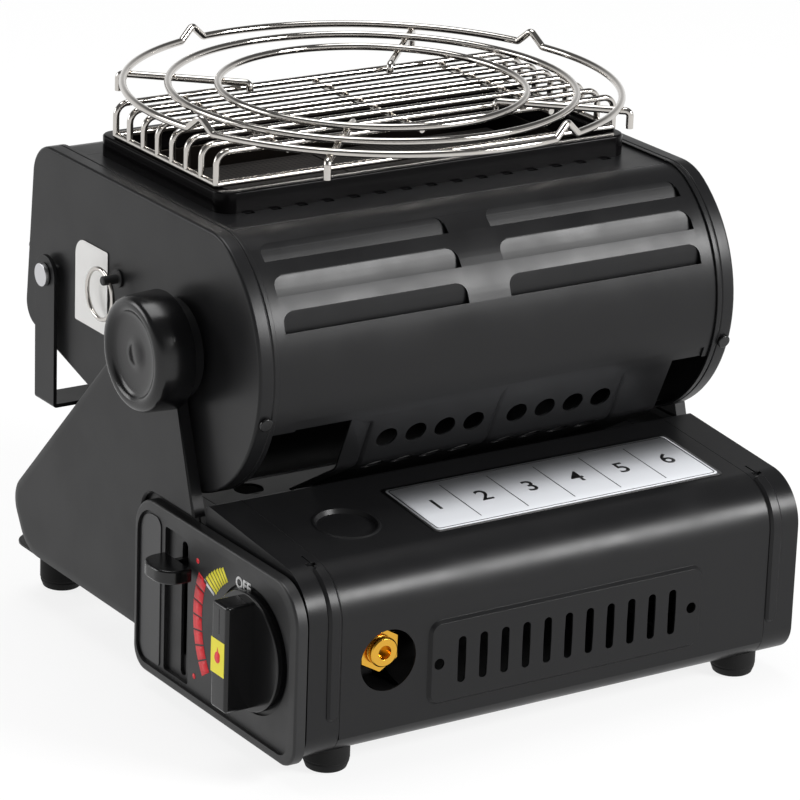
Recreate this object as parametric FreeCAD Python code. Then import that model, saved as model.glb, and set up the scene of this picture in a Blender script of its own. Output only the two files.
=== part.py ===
import FreeCAD, Part
import math
import os

os.makedirs("parts", exist_ok=True)

# Frame: X to the right, Y to the back, Z up. The sizes below count Y from the middle of the
# feet; save() then moves the parts so that the origin is the middle of the overall depth.
# All sizes in millimetres and degrees.

# Sheet and fits
SHEET = 1.2
THIN = 0.8
RUN = 0.05
GAP = 0.3

# Feet
FOOT_X = 97.0
FOOT_Y = 104.5
FOOT_R = 9.2

# Base box
BASE_HALF = 115.0
BASE_FRONT = -118.5
BASE_REAR = 2.0
BASE_BOTTOM = 8.5
DECK_TOP = 80.0
TOP_REAR_Y = -42.0
TOP_REAR_Z = 88.5
TOP_FALL = 0.091
TOP_CORNER_R = 20.0
BOTTOM_CORNER_R = 12.0
CAP_WIDTH = 15.0
SEAM = 0.6

# Lid of the cartridge bay
LID_HALF = BASE_HALF - CAP_WIDTH
CAP_INNER = LID_HALF + SEAM
LIP_INNER = LID_HALF - 3.5
LID_SHEET = 0.9
LID_LOW = 17.0
HINGE_Y = TOP_REAR_Y - 1.5
HINGE_Z = TOP_REAR_Z - 4.5
HINGE_PIN_R = 1.5
HINGE_EYE_R = 3.0
PANEL_RAISE = 1.4
SLOT_COUNT = 11
SLOT_PITCH = 9.94
SLOT_MID_X = 3.0
SLOT_MID_Z = 39.3
SLOT_LENGTH = 19.0
SLOT_WIDTH = 3.8
PANEL_HALF = 64.5
PANEL_HIGH = 34.5
PANEL = (SLOT_MID_X - PANEL_HALF, SLOT_MID_X + PANEL_HALF,
         SLOT_MID_Z + 0.25 - PANEL_HIGH / 2, SLOT_MID_Z + 0.25 + PANEL_HIGH / 2)
PANEL_HOLE_R = 2.3
PANEL_HOLES = (PANEL[0] + 4.5, PANEL[1] - 5.3)
NIPPLE_HOLE = (-LID_HALF + 20.6, 44.9, 12.4)
DIMPLE = (-LID_HALF + 26.2, -77.6, 12.7, 0.5)
LABEL = (-LID_HALF + 54.0, LID_HALF - 8.5, -98.2, -57.4, 0.25)

# Control panel on the left end
BEZEL_BACK = -BASE_HALF - SHEET
BEZEL_FACE = BEZEL_BACK - 3.3
BEZEL_RIM = BEZEL_FACE - 1.5
BEZEL_FRONT = BASE_FRONT - 1.0
BEZEL_REAR = -0.5
BEZEL_LOW = 7.5
BEZEL_TOP = 80.5
KNOB_Y = -85.5
KNOB_Z = 45.0
KNOB_R = 23.8
KNOB_OUT = 15.0
CUP_DEPTH = 1.4
SPINDLE_R = 3.0
SPINDLE_OUT = BEZEL_FACE - 8.5
LEVER_Y = -31.7
LEVER_Z = 61.0
LEVER_TRAVEL = 41.0
SLOT_LEVER = 4.6

# Valve block and gas nipple
WALL_IN = -BASE_HALF + SHEET
VALVE_FRONT = BASE_FRONT + 15.5
NUT_FRONT = BASE_FRONT + 7.0
NIPPLE_X = NIPPLE_HOLE[0] - 0.6
NIPPLE_Z = 47.5
NIPPLE_R = 6.0
NIPPLE_TIP = BASE_FRONT + LID_SHEET + 0.7
CARTRIDGE_R = 34.0
CARTRIDGE_Y = -79.0
CARTRIDGE_Z = 46.2

# Side stands
STAND_FACE = BASE_HALF + 3.5
STAND_LOW = 22.0
BOSS_R = 19.5
BRACE = (94.0, 36.0, 4.0)

# Tilting head
PIVOT_Y = -16.0
PIVOT_Z = 144.0
STUD_R = 3.0
HEAD_HALF = BASE_HALF - 3.0
STAND_FLANGE = HEAD_HALF + 1.0
DRUM_R = 57.5
HEAD_TOP = PIVOT_Z + 51.5
BACK_LOW = (PIVOT_Y + 127.8, PIVOT_Z - 24.8)
BACK_TOP = (PIVOT_Y + 120.4, HEAD_TOP)
TOP_BLEND_R = 25.0
RIM_WIDTH = 8.6
RIM_SHEET = 1.0
RIM_STEP = 6.0
LOUVRE_TOPS = (57.0, 42.0, 27.6)
LOUVRE_SPAN = 8.4
LOUVRE_DEPTH = 2.8
LOUVRES_X = ((-HEAD_HALF + 14.0, -15.0), (4.5, HEAD_HALF - 15.5))
TOP_START = 69.9
BACK_START = 152.0
CASING_LOW = -22.4
BAND_LOW = -17.5
APRON_LOW = -76.0
APRON_X = (-HEAD_HALF + 46.0, HEAD_HALF - 26.0)
APRON_BAND_X = (-HEAD_HALF + 20.0, HEAD_HALF - 12.0)
APRON_HOLES_X = (-45.0, -31.5, -18.0, -4.5, 16.0, 29.5, 43.0, 56.5)
APRON_HOLE_ROWS = (-36.5, -61.0)
APRON_HOLE_R = 4.0
SCREW_X = HEAD_HALF - 4.4
FRONT_SCREW = -14.8

# Burner, tray, guard and pan support
OPENING = (-HEAD_HALF + 22.0, HEAD_HALF - 22.0, PIVOT_Y + 4.5, PIVOT_Y + 90.5)
TRAY_BORDER = 6.0
TRAY = (OPENING[0] - TRAY_BORDER, OPENING[1] + TRAY_BORDER, OPENING[2] - TRAY_BORDER, OPENING[3] + TRAY_BORDER)
TRAY_TOP = HEAD_TOP + 7.5
BURNER_BASE = PIVOT_Z + 12.0
BURNER_TOP = BURNER_BASE + 20.0
ROD_Z = BURNER_TOP + 12.0
RODS_Y = (OPENING[2] + 25.5, OPENING[2] + 59.5)
TUBE_Y = (OPENING[2] + OPENING[3]) / 2 - 0.5
TUBE_Z = PIVOT_Z
TUBE_R = 9.0
TUBE_RISE_X = 55.0
TUBE_MOUTH_X = -HEAD_HALF + 32.0
GUARD_HALF = OPENING[1] + 3.5
GUARD_FRONT = OPENING[2] + 2.5
GUARD_REAR = OPENING[3] - 5.5
GUARD_WIRES = 8
GUARD_WIRE_R = 1.3
GUARD_TOP = TRAY_TOP + 14.0
GUARD_BEND = 5.0
RING_X = 2.0
RING_Y = 30.0
RING_WIRE_R = 1.5
RING_RADII = (100.0, 82.0, 62.0)
BAR_WIRE_R = 1.5
BAR_OUT = 104.0
BAR_IN = (45.0, 49.9)
BAR_TURN = 48.0
BAR_HOOK = 7.0
BUMP_TURN = 16.0
BUMP_HIGH = 5.5

# Side tilt knobs, handle and ring pin
TILT_KNOB_R = 22.5
TILT_KNOB_OUT = STAND_FACE + 16.0
HANDLE_Y = PIVOT_Y + 104.0
HANDLE_Z = PIVOT_Z
HANDLE_DROP = 55.0
HANDLE_WIDTH = 16.0
HANDLE_THICK = 1.6
HANDLE_FACE = HEAD_HALF + 3.0
HANDLE_SHANK_R = 2.5
PIN_Y = PIVOT_Y + 50.0
PIN_Z = PIVOT_Z + 13.0
PIN_R = 3.0
PIN_EYE_R = 3.4
PIN_EYE_SLOT = 2.3
PULL_HANG = (0.66, -0.751)
PULL_R = 10.2
PULL_WIRE_R = 0.9
PULL_X = -HEAD_HALF - 4.0
HEAD_LABEL = (PIVOT_Y + 58.5, PIVOT_Y + 84.5, PIVOT_Z - 13.5, PIVOT_Z + 21.0)

# Middle of the overall depth, from the front panel to the back of the outer pan ring
REAR_MOST = RING_Y + RING_RADII[0] + RING_WIRE_R
FRONT_MOST = BASE_FRONT - PANEL_RAISE
ORIGIN_Y = (REAR_MOST + FRONT_MOST) / 2


def v(x, y, z):
    return FreeCAD.Vector(x, y, z)


def save(name, shape):
    moved = shape.translated(v(0, -ORIGIN_Y, 0))
    moved.exportStep("parts/" + name + ".step")


def box(x0, x1, y0, y1, z0, z1):
    return Part.makeBox(x1 - x0, y1 - y0, z1 - z0, v(x0, y0, z0))


def rod_x(y, z, r, x0, x1):
    return Part.makeCylinder(r, x1 - x0, v(x0, y, z), v(1, 0, 0))


def rod_y(x, z, r, y0, y1):
    return Part.makeCylinder(r, y1 - y0, v(x, y0, z), v(0, 1, 0))


def rod_z(x, y, r, z0, z1):
    return Part.makeCylinder(r, z1 - z0, v(x, y, z0), v(0, 0, 1))


def fuse(shapes):
    first = shapes[0]
    return first.fuse(shapes[1:]).removeSplitter() if len(shapes) > 1 else first


def mirrored(shape):
    return shape.mirror(v(0, 0, 0), v(1, 0, 0))


def group(shapes):
    return Part.makeCompound(shapes)


def corner_edges(corners):
    """Edges of a closed outline in the YZ plane; each corner is (y, z, radius)."""
    tangents = []
    count = len(corners)
    for i in range(count):
        y, z, r = corners[i]
        here = v(0, y, z)
        before = (v(0, *corners[i - 1][:2]) - here).normalize()
        after = (v(0, *corners[(i + 1) % count][:2]) - here).normalize()
        half = before.getAngle(after) / 2
        reach = r / math.tan(half)
        middle = (before + after).normalize()
        centre = here + middle * (r / math.sin(half))
        tangents.append((here + before * reach, centre - middle * r, here + after * reach, r))
    edges = []
    for i in range(count):
        start, arc_mid, end, r = tangents[i]
        if r > 0:
            edges.append(Part.Arc(start, arc_mid, end).toShape())
        following = tangents[(i + 1) % count][0]
        if end.distanceToPoint(following) > 1e-6:
            edges.append(Part.makeLine(end, following))
    return edges


def outline(corners):
    return Part.Face(Part.Wire(corner_edges(corners)))


def prism(face, x0, x1):
    solid = face.extrude(v(x1 - x0, 0, 0))
    solid.translate(v(x0, 0, 0))
    return solid


def band(face, outer, inner, x0, x1):
    """Skin between two inward offsets of an outline, run along X."""
    big = face.makeOffset2D(-outer) if outer else face
    small = face.makeOffset2D(-inner)
    return prism(big, x0, x1).cut(prism(small, x0 - 1, x1 + 1))


def polar(angle, radius):
    """Point about the tilt pivot; 0 is straight forward and 90 straight up."""
    a = math.radians(angle)
    return (PIVOT_Y - radius * math.cos(a), PIVOT_Z + radius * math.sin(a))


def wedge(a0, a1, x0, x1, reach=300.0):
    """Pie slice about the tilt pivot."""
    steps = max(2, int(abs(a1 - a0) / 30) + 1)
    points = [v(x0, PIVOT_Y, PIVOT_Z)]
    for i in range(steps + 1):
        y, z = polar(a0 + (a1 - a0) * i / steps, reach)
        points.append(v(x0, y, z))
    points.append(points[0])
    return Part.Face(Part.makePolygon(points)).extrude(v(x1 - x0, 0, 0))


def bent_rod(points, bend, radius):
    """Round wire along a path with rounded bends."""
    edges = []
    start = points[0]
    for i in range(1, len(points) - 1):
        here = points[i]
        before = (points[i - 1] - here).normalize()
        after = (points[i + 1] - here).normalize()
        half = before.getAngle(after) / 2
        reach = bend / math.tan(half)
        middle = (before + after).normalize()
        arc_mid = here + middle * (bend / math.sin(half) - bend)
        a = here + before * reach
        b = here + after * reach
        edges.append(Part.makeLine(start, a))
        edges.append(Part.Arc(a, arc_mid, b).toShape())
        start = b
    edges.append(Part.makeLine(start, points[-1]))
    along = points[1] - points[0]
    circle = Part.Wire(Part.makeCircle(radius, points[0], along))
    return Part.Wire(edges).makePipeShell([circle], True, False)


def slot_x(y, z0, z1, width, x0, x1):
    r = width / 2
    lower = rod_x(y, z0 + r, r, x0, x1)
    upper = rod_x(y, z1 - r, r, x0, x1)
    return fuse([box(x0, x1, y - r, y + r, z0 + r, z1 - r), lower, upper])


def slot_y(x, z0, z1, width, y0, y1):
    r = width / 2
    lower = rod_y(x, z0 + r, r, y0, y1)
    upper = rod_y(x, z1 - r, r, y0, y1)
    return fuse([box(x - r, x + r, y0, y1, z0 + r, z1 - r), lower, upper])


def top_z(y):
    """Height of the sloping top of the base."""
    return TOP_REAR_Z + TOP_FALL * (y - TOP_REAR_Y)


def base_face():
    corner = (BASE_FRONT, top_z(BASE_FRONT), TOP_CORNER_R)
    return outline([
        (BASE_REAR, BASE_BOTTOM, 3.0),
        (BASE_FRONT, BASE_BOTTOM, BOTTOM_CORNER_R),
        corner,
        (TOP_REAR_Y, TOP_REAR_Z, 2.5),
        (TOP_REAR_Y, DECK_TOP, 0.0),
        (BASE_REAR, DECK_TOP, 3.0),
    ])


def end_cap():
    """Right-hand end of the base box: wall, outer skin and the lip under lid and pan."""
    face = base_face()
    wall = prism(face, BASE_HALF - SHEET, BASE_HALF)
    skin = band(face, 0, SHEET, CAP_INNER, BASE_HALF)
    lip = band(face, SHEET, SHEET + 1.0, LIP_INNER, BASE_HALF - SHEET)
    hinge_room = box(LIP_INNER - 1, CAP_INNER, HINGE_Y - 4.5, HINGE_Y + 5.5, DECK_TOP - 1, TOP_REAR_Z + 6)
    lip = lip.cut(hinge_room)
    back = HINGE_Y - 10.5
    arm = box(LIP_INNER, LIP_INNER + 1.5, back, HINGE_Y, HINGE_Z - HINGE_EYE_R, HINGE_Z)
    riser = box(LIP_INNER, LIP_INNER + 1.5, back, back + 5, HINGE_Z - HINGE_EYE_R, top_z(back) - SHEET - 0.4)
    eye = rod_x(HINGE_Y, HINGE_Z, HINGE_EYE_R, LIP_INNER, LIP_INNER + 1.5)
    groove = band(face, -1, 0.5, CAP_INNER + 3.6, CAP_INNER + 4.4)
    groove = groove.common(box(LIP_INNER, BASE_HALF, BASE_FRONT - 2, BASE_FRONT + 23.5, 26, 100))
    cap = fuse([wall, skin, lip, arm, riser, eye])
    cap = cap.cut(groove)
    cap = cap.cut(rod_x(HINGE_Y, HINGE_Z, HINGE_PIN_R, LIP_INNER - 1, LIP_INNER + 2))
    return cap.cut(top_slit())


def top_slit():
    """Small slit in the top of the base beside the lid."""
    y = BASE_FRONT + 15.3
    return box(CAP_INNER + 2.2, CAP_INNER + 6.4, y, y + 2.0, top_z(y) - 6, top_z(y) + 6)


def end_caps():
    right = end_cap()
    left = mirrored(right)
    left = left.cut(rod_x(KNOB_Y, KNOB_Z, 5.0, -BASE_HALF - 1, -BASE_HALF + 2))
    low, high = lever_slot(1.0)
    lever_room = slot_x(LEVER_Y, low, high, SLOT_LEVER + 1.4, -BASE_HALF - 1, -BASE_HALF + 2)
    left = left.cut(lever_room)
    save("end_cap_left", left)
    save("end_cap_right", right)


def lever_slot(spare):
    """Ends of the lever's slot, with some room to spare."""
    return LEVER_Z - LEVER_TRAVEL - 6.0 - spare, LEVER_Z + 9.0 + spare


def base_pan():
    face = base_face()
    half = CAP_INNER - 0.2
    skin = band(face, 0, SHEET, -half, half)
    keep = box(-half, half, BASE_FRONT - 1, BASE_REAR + 1, 0, LID_LOW - 0.8)
    rear = box(-half, half, BASE_REAR - SHEET - 2.4, BASE_REAR + 1, 0, DECK_TOP - 10)
    pan = skin.common(fuse([keep, rear]))
    vents = [slot_y(x, 30, 55, 4, BASE_REAR - 5, BASE_REAR + 5) for x in range(-70, 71, 14)]
    return pan.cut(vents)


def rear_deck():
    """Deck under the drum, folded down over the rear wall."""
    face = base_face()
    half = CAP_INNER - 0.2
    skin = band(face, 0, SHEET, -half, half)
    keep = box(-half, half, TOP_REAR_Y + 1.0, BASE_REAR + 1, DECK_TOP - 9.8, DECK_TOP + 1)
    deck = skin.common(keep)
    outlet = rod_z(NIPPLE_X, PIVOT_Y, 6.0, DECK_TOP - 5, DECK_TOP + 5)
    return deck.cut(outlet)


def lid_panel_front():
    x0, x1, z0, z1 = PANEL
    raised = box(x0, x1, BASE_FRONT - PANEL_RAISE, BASE_FRONT + 0.2, z0, z1)
    raised = raised.makeFillet(5.0, [e for e in raised.Edges if is_along(e, 1)])
    front = [e for e in raised.Edges if abs(e.BoundBox.YMin - e.BoundBox.YMax) < 1e-6]
    front = [e for e in front if e.BoundBox.YMax < BASE_FRONT - PANEL_RAISE + 0.01]
    return raised.makeChamfer(PANEL_RAISE - 0.3, front)


def is_along(edge, axis):
    if not isinstance(edge.Curve, Part.Line):
        return False
    d = edge.tangentAt(edge.FirstParameter)
    return abs(abs((d.x, d.y, d.z)[axis]) - 1) < 1e-6


def bay_lid():
    face = base_face()
    skin = band(face, 0, LID_SHEET, -LID_HALF, LID_HALF)
    split = BASE_FRONT + 28.0
    front_part = box(-LID_HALF, LID_HALF, BASE_FRONT - 1, split, LID_LOW, 100)
    top_part = box(-LID_HALF, LID_HALF, split - 1, TOP_REAR_Y - 0.1, HINGE_Z - 3.0, 100)
    lid = skin.common(fuse([front_part, top_part]))
    pin_room = box(LIP_INNER - 6, LID_HALF + 1, TOP_REAR_Y - 1.6, TOP_REAR_Y + 1, 60, TOP_REAR_Z - 2.1)
    eye_room = box(LIP_INNER - GAP, LID_HALF + 1, HINGE_Y - HINGE_EYE_R - 0.4, TOP_REAR_Y + 1, 60, 100)
    lid = lid.cut([pin_room, eye_room, mirrored(pin_room), mirrored(eye_room)])
    ear_x = LIP_INNER - 2.0
    ear = rod_x(HINGE_Y, HINGE_Z, HINGE_EYE_R, ear_x - SHEET, ear_x)
    stem_top = top_z(HINGE_Y - 3) - 0.4
    stem = box(ear_x - SHEET, ear_x, HINGE_Y - 3.0, HINGE_Y + 1.2, HINGE_Z, stem_top)
    ears = [ear, stem, mirrored(ear), mirrored(stem)]
    lid = fuse([lid, lid_panel_front()] + ears)
    hollow = box(PANEL[0] + 1, PANEL[1] - 1, BASE_FRONT - PANEL_RAISE + 0.9, BASE_FRONT + 2,
                 PANEL[2] + 1, PANEL[3] - 1)
    lid = lid.cut(hollow)
    bore = rod_x(HINGE_Y, HINGE_Z, HINGE_PIN_R + RUN, ear_x - 2, ear_x + 1)
    cuts = [bore, mirrored(bore)]
    low = SLOT_MID_Z - SLOT_LENGTH / 2
    for i in range(SLOT_COUNT):
        x = SLOT_MID_X + SLOT_PITCH * (i - (SLOT_COUNT - 1) / 2)
        cuts.append(slot_y(x, low, low + SLOT_LENGTH, SLOT_WIDTH, BASE_FRONT - 5, BASE_FRONT + 3))
    for x in PANEL_HOLES:
        cuts.append(rod_y(x, SLOT_MID_Z, PANEL_HOLE_R, BASE_FRONT - 5, BASE_FRONT + 3))
    x, z, r = NIPPLE_HOLE
    cuts.append(rod_y(x, z, r, BASE_FRONT - 5, BASE_FRONT + 3))
    x, y, r, deep = DIMPLE
    up = v(0, -TOP_FALL, 1).normalize()
    cuts.append(Part.makeCylinder(r, 5.0, v(x, y, top_z(y)) - up * deep, up))
    return lid.cut(cuts)


def bay_label():
    x0, x1, y0, y1, thick = LABEL
    label = outline([
        (y0, top_z(y0), 0),
        (y1, top_z(y1), 0),
        (y1, top_z(y1) + thick, 0),
        (y0, top_z(y0) + thick, 0),
    ])
    return prism(label, x0, x1)


def hinge_pins():
    pin = rod_x(HINGE_Y, HINGE_Z, HINGE_PIN_R, LIP_INNER - 4.5, LIP_INNER + 1.5)
    return group([pin, mirrored(pin)])


def bezel_face(inset=(0, 0, 0, 0), radii=(9, 10, 17, 8)):
    """Control-panel outline; inset is rear, front, bottom and top."""
    rear, front, low, top = inset
    return outline([
        (BEZEL_REAR - rear, BEZEL_LOW + low, radii[0]),
        (BEZEL_FRONT + front, BEZEL_LOW + low, radii[1]),
        (BEZEL_FRONT + front, BEZEL_TOP - top, radii[2]),
        (BEZEL_REAR - rear, BEZEL_TOP - top, radii[3]),
    ])


def control_bezel():
    body = prism(bezel_face(), BEZEL_RIM, BEZEL_BACK)
    front = [e for e in body.Edges if abs(e.BoundBox.XMax - BEZEL_RIM) < 1e-4]
    body = body.makeFillet(1.4, front)
    inner = prism(bezel_face((2.2, 5.0, 3.5, 4.2), (7, 7, 13, 7)), BEZEL_RIM - 1, BEZEL_FACE)
    body = body.cut(inner)
    trough = slot_x(LEVER_Y, 12, 75, 15.5, BEZEL_RIM - 1, BEZEL_FACE + 1.2)
    low, high = lever_slot(0.0)
    slot = slot_x(LEVER_Y, low, high, SLOT_LEVER, BEZEL_RIM - 1, BEZEL_BACK + 1)
    cup = rod_x(KNOB_Y, KNOB_Z, KNOB_R + 1.6, BEZEL_RIM - 1, BEZEL_FACE + CUP_DEPTH)
    bore = rod_x(KNOB_Y, KNOB_Z, 5.0, BEZEL_RIM - 1, BEZEL_BACK + 1)
    return body.cut([trough, slot, cup, bore])


def nameplate():
    return slot_x(-10.8, 11.8, 75.2, 15.6, BEZEL_FACE - 0.5, BEZEL_FACE)


def knob_spindle():
    """Shaft from the valve into the knob, with a flat at its outer end."""
    shaft = rod_x(KNOB_Y, KNOB_Z, SPINDLE_R, SPINDLE_OUT, WALL_IN + 1.4)
    flat = box(SPINDLE_OUT - 1, SPINDLE_OUT + 7, KNOB_Y + 1.6, KNOB_Y + 4, KNOB_Z - 5, KNOB_Z + 5)
    return shaft.cut(flat)


def gas_knob():
    back = BEZEL_FACE + CUP_DEPTH - GAP
    rim_x = back - 4.6
    skirt = rod_x(KNOB_Y, KNOB_Z, KNOB_R, rim_x, back)
    rim = [e for e in skirt.Edges if abs(e.BoundBox.XMax - rim_x) < 1e-4]
    skirt = skirt.makeFillet(1.2, rim)
    out = BEZEL_FACE - KNOB_OUT
    grip = box(out, back - 3.0, KNOB_Y - 5.5, KNOB_Y + 5.5, KNOB_Z - 21.5, KNOB_Z + 21.5)
    grip = grip.makeFillet(2.0, [e for e in grip.Edges if e.BoundBox.XMin < out + 0.01])
    mark = box(out - 1, out + 0.6, KNOB_Y - 0.5, KNOB_Y + 0.5, KNOB_Z + 6, KNOB_Z + 20)
    return fuse([skirt, grip]).cut(mark).cut(knob_spindle())


def lock_lever():
    """Paddle outside, stem through the slot and guide plate inside the wall."""
    plate_out = WALL_IN + 0.4
    plate_in = plate_out + 1.4
    stem = box(BEZEL_RIM - 1, plate_in, LEVER_Y - 1.8, LEVER_Y + 1.8, LEVER_Z - 2.5, LEVER_Z + 2.5)
    out = BEZEL_RIM - 13.0
    pad = box(out, BEZEL_RIM - 0.5, LEVER_Y - 12, LEVER_Y + 9, LEVER_Z - 3, LEVER_Z + 2.6)
    pad = pad.makeFillet(4.0, [e for e in pad.Edges if is_along(e, 2) and e.BoundBox.XMax < out + 4])
    pad = pad.makeFillet(1.2, [e for e in pad.Edges if e.BoundBox.ZMin > LEVER_Z + 2.5])
    plate = box(plate_out, plate_in, LEVER_Y - 6.5, LEVER_Y + 6.5, LEVER_Z - 9, LEVER_Z + 9)
    return fuse([stem, pad, plate])


def lock_yoke():
    """Fork inside the bay that presses the cartridge collar."""
    seat = WALL_IN + 1.8
    arm = box(seat, seat + SHEET, LEVER_Y - 9, LEVER_Y + 6.5, LEVER_Z - 7, LEVER_Z + 7)
    tongue = box(seat + SHEET, seat + 10, LEVER_Y - 9, LEVER_Y - 7.8, LEVER_Z - 7, LEVER_Z + 7)
    return fuse([arm, tongue])


def valve_block():
    inner = NIPPLE_X + 4
    body = box(WALL_IN, inner, VALVE_FRONT, VALVE_FRONT + 45, 32, 60)
    body = body.makeFillet(3.0, [e for e in body.Edges if is_along(e, 0)])
    nose = rod_x(CARTRIDGE_Y, CARTRIDGE_Z - 0.7, 15.0, inner, inner + 10)
    bore = rod_x(CARTRIDGE_Y, CARTRIDGE_Z - 0.7, 8.0, inner + 4, inner + 11)
    spindle = rod_x(KNOB_Y, KNOB_Z, SPINDLE_R + RUN, WALL_IN - 0.2, WALL_IN + 1.8)
    return fuse([body, nose]).cut([bore, spindle])


def gas_nipple():
    shank = rod_y(NIPPLE_X, NIPPLE_Z, NIPPLE_R - 1.0, NUT_FRONT, VALVE_FRONT)
    nose = rod_y(NIPPLE_X, NIPPLE_Z, NIPPLE_R, NIPPLE_TIP, NUT_FRONT)
    bore = rod_y(NIPPLE_X, NIPPLE_Z, 2.6, NIPPLE_TIP - 1, VALVE_FRONT - 1)
    return fuse([shank, nose]).cut(bore)


def nipple_collar():
    points = []
    for i in range(7):
        a = math.radians(60 * i)
        points.append(v(NIPPLE_X + 9.5 * math.cos(a), NUT_FRONT, NIPPLE_Z + 9.5 * math.sin(a)))
    nut = Part.Face(Part.makePolygon(points)).extrude(v(0, VALVE_FRONT - NUT_FRONT, 0))
    return nut.cut(rod_y(NIPPLE_X, NIPPLE_Z, NIPPLE_R - 1.0, NUT_FRONT - 1, VALVE_FRONT + 1))


def outlet_elbow():
    up = rod_z(NIPPLE_X, VALVE_FRONT + 41, 4.0, 56, 72)
    foot = rod_z(NIPPLE_X, VALVE_FRONT + 41, 6.5, 60, 64)
    return fuse([up, foot]).cut(valve_block())


def piezo_unit():
    body = box(WALL_IN, WALL_IN + 17.8, VALVE_FRONT + 3, VALVE_FRONT + 29, 62, 73)
    cap = rod_x(VALVE_FRONT + 16, 67.5, 4.0, WALL_IN + 17.8, WALL_IN + 23.8)
    return fuse([body, cap])


def cartridge_cradle():
    """Floor plate with two ribs hollowed to the cartridge."""
    low = BASE_BOTTOM + SHEET
    y0, y1 = CARTRIDGE_Y - 27, CARTRIDGE_Y + 27
    x0, x1 = -LID_HALF + 45, LID_HALF - 5
    plate = box(x0, x1, y0, y1, low, low + 1)
    ribs = [box(x, x + SHEET, y0, y1, low, CARTRIDGE_Z - 16) for x in (x0 + 10, x1 - 15)]
    seat = rod_x(CARTRIDGE_Y, CARTRIDGE_Z, CARTRIDGE_R + 0.8, x0 - 5, x1 + 5)
    return fuse([plate] + ribs).cut(seat)


def feet():
    body = prism(base_face(), -BASE_HALF, BASE_HALF)
    front = []
    rear = []
    for side in (-1, 1):
        low = Part.makeCone(FOOT_R - 1.2, FOOT_R, 3.0, v(side * FOOT_X, -FOOT_Y, 0), v(0, 0, 1))
        shank = rod_z(side * FOOT_X, -FOOT_Y, FOOT_R, 3.0, 12.0)
        front.append(fuse([low, shank]).cut(body))
        low = Part.makeCone(FOOT_R - 1.2, FOOT_R, 3.0, v(side * FOOT_X, FOOT_Y, 0), v(0, 0, 1))
        shank = rod_z(side * FOOT_X, FOOT_Y, FOOT_R, 3.0, STAND_LOW)
        rear.append(fuse([low, shank]))
    save("front_feet", group(front))
    save("rear_feet", group(rear))


def stand_face():
    """Side-stand outline seen from the side."""
    front_top = (-22.6, 127.0)
    rear_top = tangent_point(BOSS_R, (107.5, 47.5), 1)
    lower = outline([
        (front_top[0], front_top[1], 0),
        (-43.0, 70.0, 0),
        (-43.0, STAND_LOW, 6),
        (97.5, STAND_LOW, 16),
        (110.5, 44.0, 12),
        (rear_top[0], rear_top[1], 0),
    ])
    disc = Part.Face(Part.Wire(Part.makeCircle(BOSS_R, v(0, PIVOT_Y, PIVOT_Z), v(1, 0, 0))))
    core = Part.Face(Part.makePolygon([
        v(0, *front_top), v(0, *rear_top), v(0, PIVOT_Y, PIVOT_Z), v(0, *front_top)]))
    return lower.fuse([disc, core]).removeSplitter().Faces[0]


def tangent_point(radius, point, side):
    """Where a line from the point touches the circle about the pivot."""
    dy = point[0] - PIVOT_Y
    dz = point[1] - PIVOT_Z
    distance = math.hypot(dy, dz)
    base = math.atan2(dz, dy)
    swing = math.acos(radius / distance)
    a = base + side * swing
    return (PIVOT_Y + radius * math.cos(a), PIVOT_Z + radius * math.sin(a))


def stand(left):
    """One side stand, built for the left and mirrored for the right."""
    face = stand_face()
    near = bezel_face((-1.6, -1.6, -1.6, -1.6))
    nearer = bezel_face((-0.4, -0.4, -0.4, -0.4))
    outer = prism(face, -STAND_FACE, -STAND_FACE + SHEET)
    inner = prism(face, -STAND_FACE, -BASE_HALF)
    under = prism(near, -STAND_FACE - 1, -BASE_HALF + 1)
    pocket = prism(nearer, -STAND_FACE - 1, BEZEL_BACK)
    outer = outer.cut(under)
    joggle = inner.common(under).cut(pocket)
    flange = band(face, 0, SHEET, -STAND_FACE, -STAND_FLANGE)
    flange = flange.cut(prism(near, -STAND_FACE - 1, -STAND_FLANGE + 1))
    flange = flange.cut(prism(base_face().makeOffset2D(0.4), -BASE_HALF, 0))
    tab = box(-STAND_FACE, -FOOT_X + 9, FOOT_Y - 16.5, FOOT_Y + 7.5, STAND_LOW, STAND_LOW + SHEET)
    tab = tab.makeFillet(11.0, [e for e in tab.Edges if is_along(e, 2) and e.BoundBox.YMin > FOOT_Y])
    web = box(-STAND_FACE, -STAND_FACE + SHEET, FOOT_Y - 14.5, FOOT_Y - 3.5, STAND_LOW, STAND_LOW + 8)
    plate = fuse([outer, joggle, flange, tab, web])
    plate = plate.cut(rod_x(PIVOT_Y, PIVOT_Z, STUD_R + RUN, -STAND_FACE - 1, -STAND_FACE + 3))
    if left:
        low, high = lever_slot(1.0)
        plate = plate.cut(slot_x(LEVER_Y, low, high, SLOT_LEVER + 1.4, -STAND_FACE, -BASE_HALF + 1))
        plate = plate.cut(rod_x(KNOB_Y, KNOB_Z, 5.0, -STAND_FACE, -BASE_HALF + 1))
        return plate
    return mirrored(plate)


def rear_brace():
    reach = STAND_FACE - SHEET
    y, z, r = BRACE
    return rod_x(y, z, r, -reach, reach)


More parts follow.
